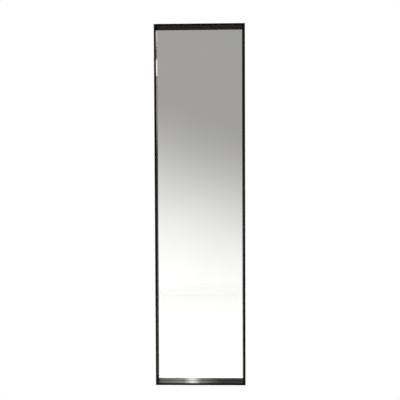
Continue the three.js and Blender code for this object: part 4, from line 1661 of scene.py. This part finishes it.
@dataclass(frozen=True)
class FlangedBush:
    """Nylon bush of a pivot, its flange down."""

    bore: float = 2.75
    sleeve: float = 3.65
    flange_height: float = 1.0
    edge: float = 0.2
    lead: float = 0.12
    fillet: float = 0.1

    def build(self, level: str) -> Piece:
        """Bush of a level.

        Args:
            level: Upper or lower.

        Returns:
            The bush.
        """
        box = box_of(f"{level}_pivot_bush")
        flange, top, high = box.width / 2, box.height, self.flange_height
        section = [
            (self.bore, self.lead), (self.bore + self.lead, 0), (flange - self.edge, 0), (flange, self.edge),
            (flange, high - self.edge), (flange - self.edge, high), (self.sleeve + self.fillet, high),
            (self.sleeve, high + self.fillet), (self.sleeve, top - self.edge), (self.sleeve - self.edge, top),
            (self.bore + self.lead, top), (self.bore, top - self.lead),
        ]
        bush = turned([Ring(radius, height) for radius, height in section], 48, hollow=True)
        return solid_object(f"{level}_flanged_bush", [(bush, Matrix.Translation(box.foot))])


# Sheet metal, pivots and catches


@dataclass(frozen=True)
class Hardware(Assembly):
    """Mounting plate, carrier upright, brackets, pivots, screws and magnet catches.

    window is a width, a height and a corner's radius, and weld_floor has shares of a weld mark's radius
    and depth.
    """

    plate_corner: float = 10.0
    plate_edge: float = 0.35
    hole_inset: float = 16.0
    hole_radius: float = 2.75
    window: tuple[float, float, float] = (56.0, 84.0, 12.0)
    window_pitch: float = 130.0
    windows: int = 4
    weld_radius: float = 3.2
    weld_depth: float = 0.4
    weld_floor: tuple[Pair, Pair] = ((0.7, 1.0), (0.9, 0.8))
    weld_places: tuple[Pair, ...] = ((-38.0, 9.0), (-13.0, -9.0), (13.0, 9.0), (38.0, -9.0))
    upright_edge: float = 0.3
    bracket_edge: float = 0.35
    strip_corner: float = 0.8
    strip_edge: float = 0.2
    strip_hole: float = 1.95
    housing_edge: float = 0.5
    magnet_edge: float = 0.4

    def nut_strip(self, level: str) -> Piece:
        """Strip in the stile's channel that takes the bracket's screws.

        Args:
            level: Upper or lower.

        Returns:
            The strip.
        """
        box = box_of(f"{level}_nut_strip")
        shape = rectangle(box.width, box.height, self.strip_corner, (box.middle.x, box.middle.z))
        screws = [box_of(f"{level}_bracket_screw_{i}").middle for i in (1, 2)]
        holes = [circle(self.strip_hole, (screw.x, screw.z), sides=28) for screw in screws]
        solid = prism(shape, box.depth, holes, self.strip_edge)
        return solid_object(f"{level}_threaded_strip", [(solid, towards_front((0, box.high.y, 0)))])

    def weld_cutter(self) -> Piece:
        """Shallow round marks of the spot welds in the plate's back.

        Returns:
            The cutter.
        """
        radius, depth = self.weld_radius, self.weld_depth
        rings = [Ring(across * radius, -down * depth) for across, down in self.weld_floor]
        rings += [Ring(radius, 0), Ring(radius, depth)]
        back = box_of("mounting_plate").high.y
        solids = []
        for level in LEVELS:
            z = box_of(f"{level}_cabinet_member").middle.z
            for x, rise in self.weld_places:
                solids.append((turned(rings, 24), basis(X_AXIS, -Z_AXIS, Y_AXIS, (x, back, z + rise))))
        return solid_object("weld_cutter", solids)

    def plate(self) -> Piece:
        """Mounting plate with its windows, panel holes and weld marks.

        Returns:
            The plate.
        """
        box = box_of("mounting_plate")
        across, up = box.width / 2 - self.hole_inset, box.height / 2 - self.hole_inset
        holes = [circle(self.hole_radius, (x, z)) for x in (-across, across) for z in (-up, up)]
        rises = [(i - (self.windows - 1) / 2) * self.window_pitch for i in range(self.windows)]
        holes += [rectangle(*self.window, (0, rise), steps=12) for rise in rises]
        shape = rectangle(box.width, box.height, self.plate_corner, steps=14)
        solid = prism(shape, box.depth, holes, self.plate_edge, steps=3)
        plate = solid_object("panel_plate", [(solid, towards_front((0, box.high.y, 0)))])
        return pierced(plate, self.weld_cutter())

    def build_screws(self, kind: str, body: str, forward: bool) -> None:
        """Builds the four pan-head screws of a kind.

        Args:
            kind: Name of the CAD nodes without level and number.
            body: The CAD body that they ride on.
            forward: True where their heads are towards -Y.
        """
        screw = PanScrew()
        nodes = [f"{level}_{kind}_{i}" for level in LEVELS for i in (1, 2)]
        turn = Vector((0, 0, 0 if forward else math.pi))
        places = []
        for box in map(box_of, nodes):
            seat = box.low.y + screw.head_height if forward else box.high.y - screw.head_height
            places.append((Vector((box.middle.x, seat, box.middle.z)), turn))
        part = screw.build(box_of(nodes[0]).depth)
        self.workshop.set_out(f"{kind}s", part, places, body, "oxide", nodes)

    def build(self) -> None:
        """Builds and dresses the hardware."""
        self.workshop.set_in(self.plate(), "panel_side", "coated", ["mounting_plate"])
        self.workshop.dress_copy("carrier_upright", "carrier_post", "carriage", "coated", self.upright_edge,
                                 steps=2)
        for level in LEVELS:
            for side, body in (("carrier", "carriage"), ("mirror", "mirror")):
                self.workshop.dress_copy(f"{level}_{side}_bracket", f"{level}_{side}_angle", body, "coated",
                                         self.bracket_edge)
            self.workshop.set_in(ShoulderBolt().build(level), "carriage", "oxide", [f"{level}_pivot_bolt"])
            self.workshop.set_in(FlangedBush().build(level), "mirror", "nylon", [f"{level}_pivot_bush"])
            self.workshop.set_in(self.nut_strip(level), "mirror", "zinc", [f"{level}_nut_strip"])
            self.workshop.dress_copy(f"{level}_magnet_housing", f"{level}_catch_body", "mirror", "plastic",
                                     self.housing_edge)
            self.workshop.dress_copy(f"{level}_catch_magnet", f"{level}_magnet_block", "mirror", "magnet",
                                     self.magnet_edge)
        self.build_screws("carrier_screw", "carriage", forward=True)
        self.build_screws("bracket_screw", "mirror", forward=False)


# Studio


@dataclass(frozen=True)
class SoftBox:
    """Square lamp outside what the glass shows, aimed at the object's origin."""

    name: str
    place: tuple[float, float, float]
    size: float
    power: float

    def build(self) -> None:
        """Hangs the lamp."""
        lamp = bpy.data.lights.new(self.name, "AREA")
        lamp.shape = "SQUARE"
        lamp.size = self.size
        lamp.energy = self.power
        holder = bpy.data.objects.new(self.name, lamp)
        holder.location = self.place
        holder.rotation_euler = (-Vector(self.place)).to_track_quat("-Z", "Y").to_euler()
        bpy.context.scene.collection.objects.link(holder)


SOFT_BOXES = (
    SoftBox("key_box", (-2.6, -2.2, 2.6), size=1.8, power=90.0),
    SoftBox("fill_box", (2.8, -1.6, 1.6), size=1.6, power=40.0),
    SoftBox("rear_box", (1.8, 2.6, 2.4), size=1.8, power=110.0),
    SoftBox("rear_fill", (-2.4, 2.2, 0.9), size=1.4, power=35.0),
    SoftBox("top_box", (0.0, 0.6, 3.2), size=2.6, power=90.0),
)


@dataclass(frozen=True)
class Surroundings:
    """What the glass shows and what lights the room: places are in degrees, seen from the glass.

    A pair of places is where a soft edge starts and ends.
    """

    fade: Pair = (-13.0, 10.2)
    fade_tilt: float = 0.35
    fade_bearing: float = -1.0
    fade_lift: float = 10.0
    lift_reach: Pair = (8.0, 45.0)
    front: Pair = (0.05, 0.5)
    grey: Colour = (0.354, 0.348, 0.332)
    gain: float = 1.1
    overhead: float = 3.2
    overhead_reach: Pair = (40.0, 75.0)
    window_foot: Pair = (20.6, 21.8)
    window_head: Pair = (34.0, 28.0)
    window_left: float = -9.0
    window_side: float = -2.1
    window_right: float = 1.8
    window_half: float = 1.15
    window_core: float = 122.0
    window_veil: float = 54.0
    window_rest: float = 8.0
    panel_near: Pair = (5.2, 5.7)
    panel_far: Pair = (8.4, 7.9)
    panel_foot: Pair = (4.0, 9.0)
    panel_head: Pair = (16.5, 18.0)
    panel_strengths: Pair = (8.0, 12.0)
    bar_rise: float = 14.8
    bar_edge: Pair = (1.1, 0.77)
    bar_strength: float = 28.0

    def build(self) -> None:
        """White surroundings that fade to grey above, on the side that the glass faces."""
        around = bpy.data.worlds.new("studio")
        bpy.context.scene.world = around
        around.use_nodes = True
        graph = Graph(around.node_tree)
        way = graph.node("ShaderNodeTexCoord").outputs["Generated"]
        x, y, z = graph.node("ShaderNodeSeparateXYZ", {0: way}).outputs
        ahead = graph.product(y, -1.0)
        rise = graph.maths("DEGREES", graph.maths("ARCSINE", z))
        side = graph.maths("DEGREES", graph.maths("ARCTAN2", x, ahead))
        front = graph.spread(ahead, *self.front)
        off_side = graph.product(graph.maths("SUBTRACT", side, self.fade_bearing), front)
        wide = graph.spread(graph.maths("ABSOLUTE", side), *self.lift_reach, 0.0, self.fade_lift)
        tilted = graph.maths("MULTIPLY_ADD", off_side, self.fade_tilt, rise)
        share = graph.spread(graph.maths("ADD", tilted, wide), *self.fade)
        colour = graph.blend(share, (1, 1, 1, 1), (*self.grey, 1))
        extra = graph.maths("ADD", self.window(graph, rise, side), self.panel(graph, rise, side))
        above = graph.spread(rise, *self.overhead_reach, self.gain, self.overhead)
        strength = graph.maths("MULTIPLY_ADD", extra, front, above)
        seen = graph.node("ShaderNodeLightPath").outputs["Is Camera Ray"]
        background = around.node_tree.nodes["Background"]
        graph.feed(background.inputs["Color"], graph.blend(seen, colour, (1, 1, 1, 1)))
        graph.feed(background.inputs["Strength"], graph.blend_value(seen, strength, 1.0))

    def window(self, graph: Graph, rise: Socket, side: Socket) -> Socket:
        """Extra strength of a soft window above the part that the glass shows.

        Args:
            graph: The world's graph.
            rise: Elevation in degrees.
            side: Bearing in degrees.

        Returns:
            The strength to add.
        """
        above = graph.product(graph.spread(rise, *self.window_foot), graph.spread(rise, *self.window_head))
        away = graph.maths("ABSOLUTE", graph.maths("SUBTRACT", side, self.window_side))
        core = graph.spread(away, self.window_half, 0.0, 0.0, self.window_core)
        middle, rest = self.window_side, self.window_rest
        before = graph.spread(side, self.window_left, middle, rest, self.window_veil)
        after = graph.spread(side, middle, self.window_right, 0.0, self.window_veil - rest)
        veil = graph.maths("SUBTRACT", before, after)
        return graph.product(graph.maths("ADD", core, veil), above)

    def panel(self, graph: Graph, rise: Socket, side: Socket) -> Socket:
        """Extra strength of a tall soft panel with a bright bar, to the right of what the glass shows.

        Args:
            graph: The world's graph.
            rise: Elevation in degrees.
            side: Bearing in degrees.

        Returns:
            The strength to add.
        """
        across = graph.product(graph.spread(side, *self.panel_near), graph.spread(side, *self.panel_far))
        body, head = self.panel_strengths
        lower = graph.spread(rise, *self.panel_foot, 0.0, body)
        upper = graph.spread(rise, *self.panel_head, 0.0, head)
        off_bar = graph.maths("ABSOLUTE", graph.maths("SUBTRACT", rise, self.bar_rise))
        bar = graph.spread(off_bar, *self.bar_edge, 0.0, self.bar_strength)
        return graph.product(graph.maths("ADD", graph.maths("ADD", lower, upper), bar), across)


@dataclass(frozen=True)
class Floor:
    """Plain pale floor below the object, in metres, with a rim that fades out."""

    drop: float = 0.29
    radius: float = 3.3
    solid: float = 2.1
    sides: int = 64
    colour: Colour = (0.60, 0.60, 0.598)
    roughness: float = 0.9

    def material(self) -> Material:
        """Matt pale floor that the camera sees as even white.

        Returns:
            The material.
        """
        pale = bpy.data.materials.new("pale_floor")
        pale.use_nodes = True
        graph = Graph(pale.node_tree)
        shader = pale.node_tree.nodes["Principled BSDF"]
        shader.inputs["Base Color"].default_value = (*self.colour, 1)
        shader.inputs["Roughness"].default_value = self.roughness
        level = graph.vector("MULTIPLY", graph.place(), (1, 1, 0))
        out = graph.vector("LENGTH", level, output="Value")
        rim = graph.spread(out, self.solid, self.radius)
        even = graph.node("ShaderNodeEmission", {"Color": (1, 1, 1, 1), "Strength": 1.0}).outputs[0]
        clear = graph.node("ShaderNodeBsdfTransparent").outputs[0]
        seen = graph.node("ShaderNodeLightPath").outputs["Is Camera Ray"]
        shown = graph.node("ShaderNodeMixShader", {0: seen, 1: shader.outputs[0], 2: even}).outputs[0]
        faded = graph.node("ShaderNodeMixShader", {0: rim, 1: shown, 2: clear}).outputs[0]
        graph.feed(pale.node_tree.nodes["Material Output"].inputs["Surface"], faded)
        return pale

    def build(self) -> None:
        """Lays the floor."""
        height = CAD_BOX[0].z - self.drop
        corners = [(*point, height) for point in circle(self.radius, sides=self.sides)]
        mesh = bpy.data.meshes.new("studio_floor")
        mesh.from_pydata(corners, [], [tuple(range(self.sides))])
        mesh.materials.append(self.material())
        ground = bpy.data.objects.new("studio_floor", mesh)
        bpy.context.scene.collection.objects.link(ground)


@dataclass(frozen=True)
class Studio:
    """Camera, floor and soft light, as the photograph was taken."""

    eye: tuple[float, float, float] = (0.0274, -1.6031, 0.0552)
    yaw: float = 1.013
    pitch: float = -1.308
    roll: float = 0.238
    focal_pixels: float = 456.7
    image_pixels: float = 400.0
    sensor: float = 36.0
    near: float = 0.05

    def camera(self) -> None:
        """Places the camera at the photograph's viewing angle."""
        lens = bpy.data.cameras.new("studio_camera")
        lens.sensor_width = self.sensor
        lens.lens = self.sensor * self.focal_pixels / self.image_pixels
        lens.clip_start = self.near
        holder = bpy.data.objects.new("studio_camera", lens)
        bpy.context.scene.collection.objects.link(holder)
        yaw, pitch, roll = [math.radians(a) for a in (self.yaw, self.pitch, self.roll)]
        turn = Matrix.Rotation(yaw, 4, "Z") @ Matrix.Rotation(pitch, 4, "X") @ Matrix.Rotation(roll, 4, "Y")
        level = Matrix.Rotation(math.pi / 2, 4, "X")
        holder.matrix_world = Matrix.Translation(self.eye) @ turn @ level
        bpy.context.scene.camera = holder

    def build(self) -> None:
        """Sets up the whole studio."""
        self.camera()
        Floor().build()
        Surroundings().build()
        for box in SOFT_BOXES:
            box.build()
        bpy.context.scene.view_settings.view_transform = "Standard"
        log.info("studio ready")


def main() -> None:
    """Builds the mirror and its studio."""
    logging.basicConfig(level=logging.INFO, format="%(name)s: %(message)s")
    Studio().build()
    workshop = Workshop()
    for assembly in (MirrorFrame, MirrorPane, SlidePair, Hardware):
        assembly(workshop).build()


if __name__ == "__main__":
    main()
